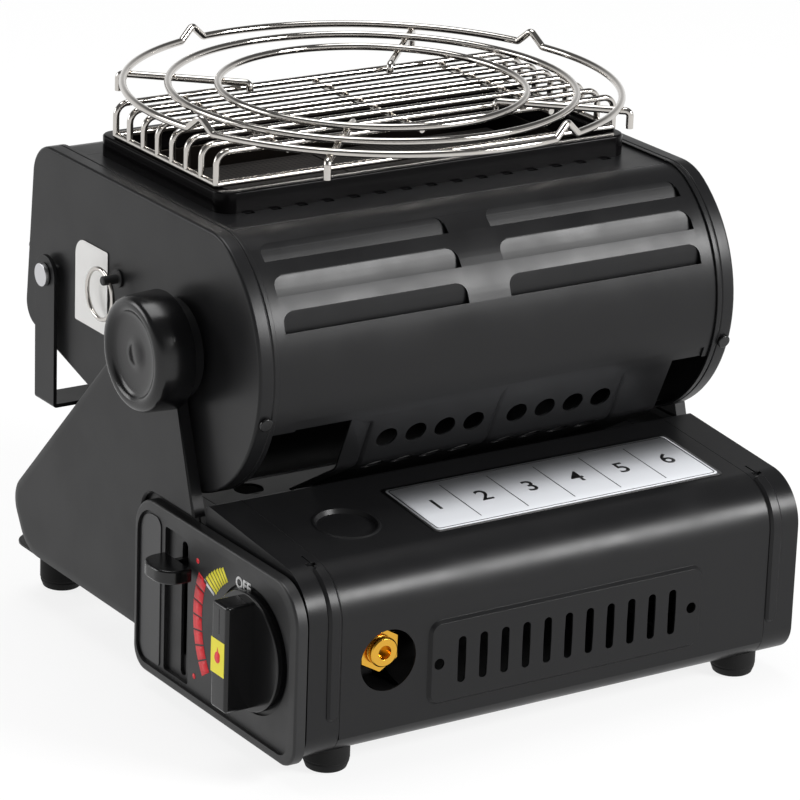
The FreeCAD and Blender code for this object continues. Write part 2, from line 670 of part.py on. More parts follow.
def head_face():
    """Head outline: drum front, flat top and box back, about the pivot."""
    yc, zc, r = PIVOT_Y, PIVOT_Z, DRUM_R
    rise = HEAD_TOP - zc
    blend = TOP_BLEND_R
    side = math.sqrt((r - blend) ** 2 - (rise - blend) ** 2)
    top_start = v(0, yc - side, HEAD_TOP)
    blend_centre = v(0, yc - side, HEAD_TOP - blend)
    out = v(0, -side / (r - blend), (rise - blend) / (r - blend))
    on_drum = v(0, yc, zc) + out * r
    blend_mid = blend_centre + (v(0, 0, 1) + out).normalize() * blend
    rear_low = BACK_LOW
    dy, dz = rear_low[0] - yc, rear_low[1] - zc
    a = math.atan2(dz, dy) - math.acos(r / math.hypot(dy, dz))
    touch = v(0, yc + r * math.cos(a), zc + r * math.sin(a))
    low_dir = (v(0, *rear_low) - touch).normalize()
    back_top = v(0, *BACK_TOP)
    back_dir = (back_top - v(0, *rear_low)).normalize()
    low_arc = corner_arc(v(0, *rear_low), -1 * low_dir, back_dir, 10.0)
    top_arc = corner_arc(back_top, -1 * back_dir, v(0, -1, 0), 14.0)
    edges = [
        Part.makeLine(touch, low_arc[0]),
        Part.Arc(*low_arc).toShape(),
        Part.makeLine(low_arc[2], top_arc[0]),
        Part.Arc(*top_arc).toShape(),
        Part.makeLine(top_arc[2], top_start),
        Part.Arc(top_start, blend_mid, on_drum).toShape(),
        Part.Arc(on_drum, v(0, yc - r, zc), touch).toShape(),
    ]
    return Part.Face(Part.Wire(edges))


def corner_arc(here, before, after, r):
    half = before.getAngle(after) / 2
    reach = r / math.tan(half)
    middle = (before + after).normalize()
    arc_mid = here + middle * (r / math.sin(half) - r)
    return (here + before * reach, arc_mid, here + after * reach)


def head_end():
    """Left end plate of the head with its turned rim."""
    face = head_face()
    plate = prism(face, -HEAD_HALF, -HEAD_HALF + SHEET)
    rim = band(face, 0, RIM_SHEET, -HEAD_HALF, -HEAD_HALF + RIM_WIDTH)
    step = prism(face.makeOffset2D(-RIM_STEP), -HEAD_HALF - 1, -HEAD_HALF + 0.5)
    end = fuse([plate, rim]).cut(step)
    inside = -HEAD_HALF + RIM_WIDTH
    end = end.cut(rod_x(PIVOT_Y, PIVOT_Z, STUD_R, -HEAD_HALF - 1, inside))
    end = end.cut(rod_x(HANDLE_Y, HANDLE_Z, HANDLE_SHANK_R, -HEAD_HALF - 1, inside))
    return end.cut(casing_screws())


def head_ends():
    left = head_end()
    save("head_end_right", mirrored(left))
    pin_hole = rod_x(PIN_Y, PIN_Z, PIN_R + RUN, -HEAD_HALF - 1, -HEAD_HALF + RIM_WIDTH)
    save("head_end_left", left.cut(pin_hole))


def skin_part(a0, a1, half):
    """Part of the head skin between two angles about the pivot."""
    face = head_face()
    skin = band(face, RIM_SHEET, RIM_SHEET + THIN, -half, half)
    return skin.common(wedge(a0, a1, -half, half))


def louvre(top_angle, x0, x1):
    """Inclined blade, flush at its top and pressed in at its lower edge, with a cheek at each end."""
    outer = DRUM_R - RIM_SHEET
    low_angle = top_angle - LOUVRE_SPAN
    top_out = v(x0, *polar(top_angle, outer))
    top_in = v(x0, *polar(top_angle, outer - THIN))
    low_out = v(x0, *polar(low_angle, outer - LOUVRE_DEPTH))
    low_in = v(x0, *polar(low_angle, outer - LOUVRE_DEPTH - THIN))
    blade = Part.Face(Part.makePolygon([top_out, low_out, low_in, top_in, top_out]))
    skin_top = v(x0, *polar(top_angle, outer - THIN / 2))
    skin_low = v(x0, *polar(low_angle, outer - THIN / 2))
    cheek = Part.Face(Part.makePolygon([skin_top, skin_low, low_in, top_in, skin_top]))
    left = cheek.extrude(v(-THIN, 0, 0))
    right = left.translated(v(x1 - x0 + THIN, 0, 0))
    return [blade.extrude(v(x1 - x0, 0, 0)), left, right]


def louvre_window(top_angle, x0, x1):
    outer = DRUM_R + 4
    inner = DRUM_R - 8
    low_angle = top_angle - LOUVRE_SPAN
    corners = [polar(top_angle, outer), polar(low_angle, outer), polar(low_angle, inner), polar(top_angle, inner)]
    points = [v(x0, *p) for p in corners]
    points.append(points[0])
    return Part.Face(Part.makePolygon(points)).extrude(v(x1 - x0, 0, 0))


def front_casing():
    half = HEAD_HALF - SHEET
    skin = skin_part(CASING_LOW, TOP_START, half)
    windows = [wedge(CASING_LOW - 1, BAND_LOW, APRON_BAND_X[0], APRON_BAND_X[1])]
    blades = []
    for angle in LOUVRE_TOPS:
        for x0, x1 in LOUVRES_X:
            windows.append(louvre_window(angle, x0, x1))
            blades += louvre(angle, x0, x1)
    return fuse([skin.cut(windows)] + blades).cut(casing_screws())


def air_apron():
    """Lower front sheet with two rows of round holes."""
    face = head_face()
    outer = RIM_SHEET + THIN
    skin = band(face, outer, outer + THIN, -HEAD_HALF + 2, HEAD_HALF - 2)
    strip = skin.common(wedge(CASING_LOW, BAND_LOW + 3.0, APRON_BAND_X[0], APRON_BAND_X[1]))
    apron = skin.common(wedge(APRON_LOW, CASING_LOW, APRON_X[0], APRON_X[1]))
    holes = []
    for angle in APRON_HOLE_ROWS:
        a = math.radians(angle)
        for x in APRON_HOLES_X:
            start = v(x, *polar(angle, 40))
            holes.append(Part.makeCylinder(APRON_HOLE_R, 30, start, v(0, -math.cos(a), math.sin(a))))
    return fuse([strip, apron]).cut(holes)


def top_frame():
    """Flat top of the head, open over the burner."""
    sheet = skin_part(TOP_START, BACK_START, HEAD_HALF - SHEET)
    x0, x1, y0, y1 = OPENING
    return sheet.cut(box(x0, x1, y0, y1, HEAD_TOP - 10, HEAD_TOP + 10))


def rear_cover():
    """Back and underside of the head, with a row of vents at the back."""
    sheet = skin_part(BACK_START, 360.0 + APRON_LOW, HEAD_HALF - SHEET)
    slots = []
    for i in range(13):
        x = 12 * (i - 6)
        slots.append(slot_y(x, PIVOT_Z - 6, PIVOT_Z + 22, 4, BACK_TOP[0] - 14, BACK_LOW[0] + 8))
    return sheet.cut(slots + casing_screws())


def screw(seat, out):
    """Pan-head screw with its head on the seat point."""
    shank = Part.makeCylinder(1.4, 2.9, seat - out * 2.8, out)
    head = Part.makeCylinder(2.7, 1.6, seat, out)
    return fuse([shank, head])


def casing_screws():
    """One screw at the front and one at the back of each end rim."""
    a = math.radians(FRONT_SCREW)
    front_out = v(0, -math.cos(a), math.sin(a))
    front_seat = polar(FRONT_SCREW, DRUM_R)
    along = v(0, BACK_TOP[0] - BACK_LOW[0], BACK_TOP[1] - BACK_LOW[1])
    rear_out = v(0, along.z, -along.y).normalize()
    rear_seat = v(0, *BACK_LOW) + along * 0.4
    screws = []
    for side in (-1, 1):
        x = side * SCREW_X
        screws.append(screw(v(x, *front_seat), front_out))
        screws.append(screw(v(x, rear_seat.y, rear_seat.z), rear_out))
    return screws


def burner_tray():
    """Gloss surround on top of the head, open over the burner."""
    x0, x1, y0, y1 = TRAY
    low = HEAD_TOP - RIM_SHEET
    body = box(x0, x1, y0, y1, low, TRAY_TOP)
    body = body.makeFillet(3.0, [e for e in body.Edges if is_along(e, 2)])
    ox0, ox1, oy0, oy1 = OPENING
    body = body.cut(box(x0 + SHEET, x1 - SHEET, y0 + SHEET, y1 - SHEET, low - 1, TRAY_TOP - SHEET))
    body = body.cut(box(ox0, ox1, oy0, oy1, low - 1, TRAY_TOP + 1))
    wall = box(ox0 - SHEET, ox1 + SHEET, oy0 - SHEET, oy1 + SHEET, low, TRAY_TOP - SHEET)
    wall = wall.cut(box(ox0, ox1, oy0, oy1, low - 1, TRAY_TOP + 1))
    notches = []
    for x in (-25, -12, 15, 33, 46, 64):
        notches.append(box(x - 2.2, x + 2.2, y0 - 1, y0 + SHEET + 1, low - 1, low + 2.4))
    return fuse([body, wall]).cut(notches)


def reflector():
    """Upright walls round the flames, hung from the top of the head."""
    x0, x1, y0, y1 = OPENING
    top = HEAD_TOP - RIM_SHEET - THIN
    hollow = box(x0 + THIN, x1 - THIN, y0 + THIN, y1 - THIN, BURNER_TOP - 1, top + 1)
    walls = box(x0, x1, y0, y1, BURNER_TOP, top).cut(hollow)
    lip = box(x0 - 4, x1 + 4, y0 - 4, y1 + 4, top - THIN, top).cut(box(x0, x1, y0, y1, top - 2, top + 1))
    holes = [rod_x(y, ROD_Z, 2.6, x0 - 9, x0 + 6) for y in RODS_Y]
    return fuse([walls, lip]).cut(holes)


def burner_box():
    """Plenum under the two burner plaques."""
    x0, x1, y0, y1 = OPENING
    body = box(x0, x1, y0, y1, BURNER_BASE, BURNER_TOP)
    body = body.cut(box(x0 + 1, x1 - 1, y0 + 1, y1 - 1, BURNER_BASE + 1, BURNER_TOP - 5))
    body = body.cut(box(x0 + 1, x1 - 1, y0 + 1, y1 - 1, BURNER_TOP - 4, BURNER_TOP + 1))
    window = (y0 + 5, y1 - 5, BURNER_TOP - 6, BURNER_TOP - 3)
    windows = [box(x0 + 5, -3, *window), box(3, x1 - 5, *window)]
    windows.append(rod_z(TUBE_RISE_X, TUBE_Y, TUBE_R - 1.4, BURNER_BASE - 6, BURNER_BASE + 2))
    return body.cut(windows)


def plaque(x0, x1):
    y0, y1 = OPENING[2] + 1.2, OPENING[3] - 1.2
    return box(x0, x1, y0, y1, BURNER_TOP - 4, BURNER_TOP + 8)


def mixing_tube():
    """Tube that carries gas and air from the jet to the plenum."""
    mouth = TUBE_MOUTH_X
    run = rod_x(TUBE_Y, TUBE_Z, TUBE_R, mouth + 10, TUBE_RISE_X + 11)
    rise = rod_z(TUBE_RISE_X, TUBE_Y, TUBE_R - 0.4, TUBE_Z, BURNER_BASE)
    along = v(1, 0, 0)
    bell = Part.makeCone(TUBE_R + 3, TUBE_R, 10.0, v(mouth, TUBE_Y, TUBE_Z), along)
    hollow = rod_x(TUBE_Y, TUBE_Z, TUBE_R - 1, mouth - 1, TUBE_RISE_X + 10)
    throat = rod_z(TUBE_RISE_X, TUBE_Y, TUBE_R - 1.4, TUBE_Z, BURNER_BASE + 1)
    flare = Part.makeCone(TUBE_R + 2, TUBE_R - 1, 10.0, v(mouth, TUBE_Y, TUBE_Z), along)
    return fuse([run, rise, bell]).cut([hollow, throat, flare])


def jet_holder():
    """Gas jet in a bracket that hangs from the burner box."""
    x, y, z = TUBE_MOUTH_X, TUBE_Y, TUBE_Z
    bracket = box(x - 1.2, x, y - 13, y + 13, z - 14, BURNER_BASE)
    jet = rod_x(y, z, 5.0, x - 18, x + 4)
    cuts = [rod_x(y, z, 1.0, x - 19, x + 5)]
    for i in range(4):
        a = math.radians(45 + 90 * i)
        cuts.append(rod_x(y + 8.0 * math.cos(a), z + 8.0 * math.sin(a), 2.2, x - 2, x + 1))
    return fuse([bracket, jet]).cut(cuts)


def electrode(y, reach):
    """Rod in a ceramic sleeve through the left reflector wall."""
    sleeve = rod_x(y, ROD_Z, 2.6, OPENING[0] - 8, OPENING[0] + 5)
    pin = rod_x(y, ROD_Z, 0.8, OPENING[0] - 12, OPENING[0] + reach)
    return fuse([sleeve, pin])


def pivot_studs():
    stud = rod_x(PIVOT_Y, PIVOT_Z, STUD_R, -TILT_KNOB_OUT + 3.5, -HEAD_HALF + SHEET)
    head = rod_x(PIVOT_Y, PIVOT_Z, 7.0, -HEAD_HALF + SHEET, -HEAD_HALF + SHEET + 3)
    left = fuse([stud, head])
    return group([left, mirrored(left)])


def pivot_bushes():
    start = -STAND_FACE + SHEET + 0.1
    bush = rod_x(PIVOT_Y, PIVOT_Z, 10.0, start, -HEAD_HALF + 0.5)
    bush = bush.cut(rod_x(PIVOT_Y, PIVOT_Z, STUD_R, start - 1, -HEAD_HALF + 1))
    return group([bush, mirrored(bush)])


def tilt_knob():
    seat = -STAND_FACE - 0.2
    body = Part.makeCone(TILT_KNOB_R + 1.0, TILT_KNOB_R, TILT_KNOB_OUT + seat, v(seat, PIVOT_Y, PIVOT_Z),
                         v(-1, 0, 0))
    rim = [e for e in body.Edges if abs(e.BoundBox.XMax + TILT_KNOB_OUT) < 1e-4]
    body = body.makeFillet(2.4, rim)
    ball_r = 60.0
    reach = math.sqrt(ball_r ** 2 - 17.5 ** 2)
    dish = Part.makeSphere(ball_r, v(-TILT_KNOB_OUT - reach, PIVOT_Y, PIVOT_Z))
    bore = rod_x(PIVOT_Y, PIVOT_Z, STUD_R + RUN, -TILT_KNOB_OUT + 3.3, seat + 1)
    return body.cut([dish, bore])


def handle_screws():
    inner = -HEAD_HALF + SHEET
    shank = rod_x(HANDLE_Y, HANDLE_Z, HANDLE_SHANK_R, -HANDLE_FACE - 0.3, inner)
    head = rod_x(HANDLE_Y, HANDLE_Z, 4.8, -HANDLE_FACE - 2.2, -HANDLE_FACE - 0.2)
    collar = rod_x(HANDLE_Y, HANDLE_Z, 4.0, -HANDLE_FACE + HANDLE_THICK + 0.1, -HEAD_HALF + 0.5)
    nut = rod_x(HANDLE_Y, HANDLE_Z, 4.0, inner, inner + 2.5)
    left = fuse([shank, head, collar, nut])
    return group([left, mirrored(left)])


def carry_handle():
    x0 = -HANDLE_FACE
    x1 = -HANDLE_FACE + HANDLE_THICK
    half = HANDLE_WIDTH / 2
    low = HANDLE_Z - HANDLE_DROP
    arm = box(x0, x1, HANDLE_Y - half, HANDLE_Y + half, low, HANDLE_Z)
    eye = rod_x(HANDLE_Y, HANDLE_Z, half, x0, x1)
    bar = box(-HANDLE_FACE, HANDLE_FACE, HANDLE_Y - half, HANDLE_Y + half, low, low + HANDLE_THICK)
    handle = fuse([arm, eye, mirrored(arm), mirrored(eye), bar])
    edges = [e for e in handle.Edges if is_along(e, 1) and e.BoundBox.ZMax < low + 0.01]
    handle = handle.makeFillet(HANDLE_THICK, edges)
    reach = HANDLE_FACE + 5
    return handle.cut(rod_x(HANDLE_Y, HANDLE_Z, HANDLE_SHANK_R + RUN, -reach, reach))


def pull_ring():
    """Split ring through the eye of the pin."""
    down = v(0, *PULL_HANG)
    centre = v(PULL_X, PIN_Y, PIN_Z) + down * PULL_R
    return Part.makeTorus(PULL_R, PULL_WIRE_R, centre, v(1, 0, 0))


def ring_pin():
    shank = rod_x(PIN_Y, PIN_Z, PIN_R, PULL_X - 3.2, -HEAD_HALF + 8)
    head = rod_x(PIN_Y, PIN_Z, PIN_EYE_R, PULL_X - 3.2, -HEAD_HALF - 0.9)
    collar = rod_x(PIN_Y, PIN_Z, 4.4, -HEAD_HALF - 1.4, -HEAD_HALF - 0.2)
    depth = PULL_WIRE_R + 0.35
    eye = box(PULL_X - depth, PULL_X + depth, -PIN_EYE_SLOT, PIN_EYE_SLOT, -8, 8)
    eye.rotate(v(0, 0, 0), v(1, 0, 0), math.degrees(math.atan2(PULL_HANG[1], PULL_HANG[0])))
    eye.translate(v(0, PIN_Y, PIN_Z))
    return fuse([shank, head, collar]).cut(eye)


def head_label():
    y0, y1, z0, z1 = HEAD_LABEL
    return box(-HEAD_HALF + 0.3, -HEAD_HALF + 0.5, y0, y1, z0, z1)


def wire_guard():
    """Chrome wire guard over the burner: frame, long wires and cross wires."""
    low = TRAY_TOP + GUARD_WIRE_R
    parts = []
    h, y0, y1 = GUARD_HALF, GUARD_FRONT, GUARD_REAR
    for y in (y0, y1):
        parts.append(rod_x(y, low, GUARD_WIRE_R, -h, h))
    for x in (-h, h):
        parts.append(rod_y(x, low, GUARD_WIRE_R, y0, y1))
        for y in (y0, y1):
            parts.append(Part.makeSphere(GUARD_WIRE_R, v(x, y, low)))
    pitch = (y1 - y0) / (GUARD_WIRES - 1)
    for i in range(GUARD_WIRES):
        y = y0 + pitch * i
        path = [v(-h, y, low), v(-h, y, GUARD_TOP), v(h, y, GUARD_TOP), v(h, y, low)]
        parts.append(bent_rod(path, GUARD_BEND, GUARD_WIRE_R))
    under = GUARD_TOP - 2 * GUARD_WIRE_R + 0.4
    for x in (-62, 0, 62):
        parts.append(rod_y(x, under, GUARD_WIRE_R, y0 - 1, y1 + 1))
    return fuse(parts)


def ring(radius):
    z = ring_height()
    return Part.makeTorus(radius, RING_WIRE_R, v(RING_X, RING_Y, z), v(0, 0, 1))


def bar_height():
    return GUARD_TOP + GUARD_WIRE_R + GAP + BAR_WIRE_R


def ring_height():
    return bar_height() + BAR_WIRE_R + RING_WIRE_R - 0.3


def outer_ring():
    """Outer pan ring with four raised pegs bent into the wire."""
    radius = RING_RADII[0]
    z = ring_height()
    half = 5.5
    run = 3.0
    parts = []
    for i in range(4):
        turn = BUMP_TURN + 90 * i
        start = ring_point(radius, turn - half, z)
        end = ring_point(radius, turn + half, z)
        ahead = ring_heading(turn - half)
        behind = ring_heading(turn + half)
        peak = ring_point(radius, turn, z + BUMP_HIGH)
        path = [start, start + ahead * run, peak, end - behind * run, end]
        parts.append(bent_rod(path, 1.8, RING_WIRE_R))
        disc = Part.Face(Part.Wire(Part.makeCircle(RING_WIRE_R, end, behind)))
        parts.append(disc.revolve(v(RING_X, RING_Y, z), v(0, 0, 1), 90 - 2 * half))
    return parts[0].fuse(parts[1:])


def ring_heading(turn):
    a = math.radians(turn)
    return v(-math.sin(a), math.cos(a), 0)


def ring_point(radius, turn, z):
    a = math.radians(turn)
    return v(RING_X + radius * math.cos(a), RING_Y + radius * math.sin(a), z)


def pan_bars():
    z = bar_height()
    bars = []
    for i in range(4):
        turn = BAR_TURN + 90 * i
        inner = BAR_IN[i % 2]
        path = [ring_point(inner, turn, z - BAR_HOOK + 2), ring_point(inner, turn, z),
                ring_point(BAR_OUT, turn, z), ring_point(BAR_OUT, turn, z - BAR_HOOK)]
        bars.append(bent_rod(path, 2.0, BAR_WIRE_R))
    rings = [ring(r) for r in RING_RADII]
    return group([bar.cut(rings) for bar in bars])


def main():
    end_caps()
    save("base_pan", base_pan())
    save("rear_deck", rear_deck())
    save("bay_lid", bay_lid())
    save("bay_label", bay_label())
    save("hinge_pins", hinge_pins())
    save("control_bezel", control_bezel())
    save("nameplate", nameplate())
    save("knob_spindle", knob_spindle())
    save("gas_knob", gas_knob())
    save("lock_lever", lock_lever())
    save("lock_yoke", lock_yoke())
    save("valve_block", valve_block())
    save("gas_nipple", gas_nipple())
    save("nipple_collar", nipple_collar())
    save("outlet_elbow", outlet_elbow())
    save("piezo_unit", piezo_unit())
    save("cartridge_cradle", cartridge_cradle())
    feet()
    save("stand_left", stand(True))
    save("stand_right", stand(False))
    save("rear_brace", rear_brace())
    head_ends()
    save("front_casing", front_casing())
    save("air_apron", air_apron())
    save("top_frame", top_frame())
    save("rear_cover", rear_cover())
    save("casing_screws", group(casing_screws()))
    save("burner_tray", burner_tray())
    save("reflector", reflector())
    save("burner_box", burner_box())
    save("plaque_left", plaque(OPENING[0] + 1.2, -0.5))
    save("plaque_right", plaque(0.5, OPENING[1] - 1.2))
    save("mixing_tube", mixing_tube())
    save("jet_holder", jet_holder())
    save("spark_electrode", electrode(RODS_Y[0], 22))
    save("flame_sensor", electrode(RODS_Y[1], 16))
    save("pivot_studs", pivot_studs())
    save("pivot_bushes", pivot_bushes())
    save("tilt_knob_left", tilt_knob())
    save("tilt_knob_right", mirrored(tilt_knob()))
    save("handle_screws", handle_screws())
    save("carry_handle", carry_handle())
    save("ring_pin", ring_pin())
    save("pull_ring", pull_ring())
    save("head_label", head_label())
    save("wire_guard", wire_guard())
    save("pan_ring_outer", outer_ring())
    save("pan_ring_middle", ring(RING_RADII[1]))
    save("pan_ring_inner", ring(RING_RADII[2]))
    save("pan_bars", pan_bars())


main()
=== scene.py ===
"""Finishes and detailed pieces of a portable gas heater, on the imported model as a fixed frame."""
import math

import bmesh
import bpy
from mathutils import Matrix, Vector


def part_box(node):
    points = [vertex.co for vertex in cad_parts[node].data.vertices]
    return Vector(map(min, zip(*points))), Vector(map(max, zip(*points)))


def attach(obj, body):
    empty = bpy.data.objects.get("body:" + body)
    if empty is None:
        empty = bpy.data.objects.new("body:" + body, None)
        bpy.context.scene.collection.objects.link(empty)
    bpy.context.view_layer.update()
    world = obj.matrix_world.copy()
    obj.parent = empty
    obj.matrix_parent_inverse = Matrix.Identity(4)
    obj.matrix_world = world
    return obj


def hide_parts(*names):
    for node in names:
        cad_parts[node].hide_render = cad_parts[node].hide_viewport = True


bl_info = {
    "name": "Portable Gas Heater",
    "version": (1, 0, 0),
    "blender": (4, 5, 0),
    "location": "3D View > Sidebar > Gas Heater",
    "description": "Builds the visible pieces and finishes of a portable gas heater",
    "category": "Object",
}

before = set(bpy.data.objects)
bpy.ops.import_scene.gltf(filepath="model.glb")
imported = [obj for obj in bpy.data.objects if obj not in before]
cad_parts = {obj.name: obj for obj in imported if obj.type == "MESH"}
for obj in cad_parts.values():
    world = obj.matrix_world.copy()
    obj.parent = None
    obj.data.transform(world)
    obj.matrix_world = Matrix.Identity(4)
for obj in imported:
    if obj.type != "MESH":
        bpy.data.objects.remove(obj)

# Pieces are drawn in millimetres with Y counted from the middle of the feet, then placed.
MM = 0.001
DEPTH_SHIFT = -5.8
# Places as (Y, Z): the studs that the head tilts about, and the middle of the gas knob.
PIVOT = (-16.0, 144.0)
KNOB = (-85.5, 45.0)
# The seams at the lid's ends are drawn this much closer than in the frame.
SEAM = 0.45

# The camera's place in metres, its angles in degrees and its lens in millimetres.
CAMERA_PLACE = (-0.88256, -1.33109, 0.65687)
CAMERA_AZIMUTH, CAMERA_LIFT, CAMERA_ROLL = -33.68, 19.31, 2.04
CAMERA_LENS = 187.6
# Strength of the even world light, and the floor's share of even white where it is looked at.
WORLD_LIGHT = 0.36
FLOOR_WHITE = 0.84


def srgb(code):
    """Linear colour of an sRGB hex value."""
    values = [int(code[i:i + 2], 16) / 255 for i in (0, 2, 4)]
    return tuple(c / 12.92 if c <= 0.04045 else ((c + 0.055) / 1.055) ** 2.4 for c in values)


class GH_Sizes(bpy.types.PropertyGroup):
    lid_half: bpy.props.FloatProperty(
        name="Lid half width", description="Half of the bay lid's width", unit="LENGTH",
        default=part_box("bay_lid")[1].x)
    louvre_depth: bpy.props.FloatProperty(
        name="Louvre depth", description="How far a louvre is pressed in at its lower edge",
        unit="LENGTH", default=0.0024)
    coat_grain: bpy.props.FloatProperty(
        name="Coat grain", description="Size of the powder coat's orange-peel grain",
        unit="LENGTH", default=0.0007)


class GH_Colours(bpy.types.PropertyGroup):
    powder: bpy.props.FloatVectorProperty(
        name="Powder coat", description="Black powder coat of the sheet steel", subtype="COLOR",
        default=srgb("161617"))
    enamel: bpy.props.FloatVectorProperty(
        name="Enamel", description="Gloss black enamel of the burner tray", subtype="COLOR",
        default=srgb("0C0B0C"))
    plastic: bpy.props.FloatVectorProperty(
        name="Plastic", description="Moulded black plastic of the control panel", subtype="COLOR",
        default=srgb("151516"))
    floor: bpy.props.FloatVectorProperty(
        name="Floor", description="Pale studio floor", subtype="COLOR", default=srgb("F2F2F2"))


def add(tree, kind, settings=None, **links):
    """Adds a shader node; settings are attributes or sockets, links are sockets fed by an output.

    A link is named for its socket, or by an underscore and the socket's number.
    """
    node = tree.nodes.new("ShaderNode" + kind)
    for key, value in (settings or {}).items():
        if isinstance(key, str) and hasattr(node, key):
            setattr(node, key, value)
        else:
            node.inputs[key].default_value = value
    for key, output in links.items():
        socket = int(key[1:]) if key[0] == "_" else key.replace("_", " ")
        tree.links.new(output, node.inputs[socket])
    return node


def new_look(name, colour, rough, metal=0.0, **more):
    """Starts a material and returns it with its tree and its surface shader."""
    look = bpy.data.materials.new(name)
    look.use_nodes = True
    tree = look.node_tree
    shader = tree.nodes["Principled BSDF"]
    shader.inputs["Base Color"].default_value = (*colour, 1.0)
    shader.inputs["Roughness"].default_value = rough
    shader.inputs["Metallic"].default_value = metal
    for key, value in more.items():
        shader.inputs[key.replace("_", " ")].default_value = value
    return look, tree, shader


def grain(tree, shader, size, depth, detail=2.0, rough=None, stretch=None):
    """Fine surface grain of a size in metres, as bump and, if given, as a roughness range."""
    place = add(tree, "TexCoord").outputs["Object"]
    if stretch:
        place = add(tree, "Mapping", {"Scale": stretch}, Vector=place).outputs[0]
    noise = add(tree, "TexNoise", {"Scale": 1.0 / size, "Detail": detail}, Vector=place)
    bump = add(tree, "Bump", {"Strength": 1.0, "Distance": depth}, Height=noise.outputs[0])
    tree.links.new(bump.outputs[0], shader.inputs["Normal"])
    if rough:
        wide = add(tree, "TexNoise", {"Scale": 1.0 / (size * 30), "Detail": 3.0}, Vector=place)
        spread = add(tree, "MapRange",
                     {"From Min": 0.3, "From Max": 0.7, "To Min": rough[0], "To Max": rough[1]},
                     Value=wide.outputs[0])
        tree.links.new(spread.outputs[0], shader.inputs["Roughness"])
    return place


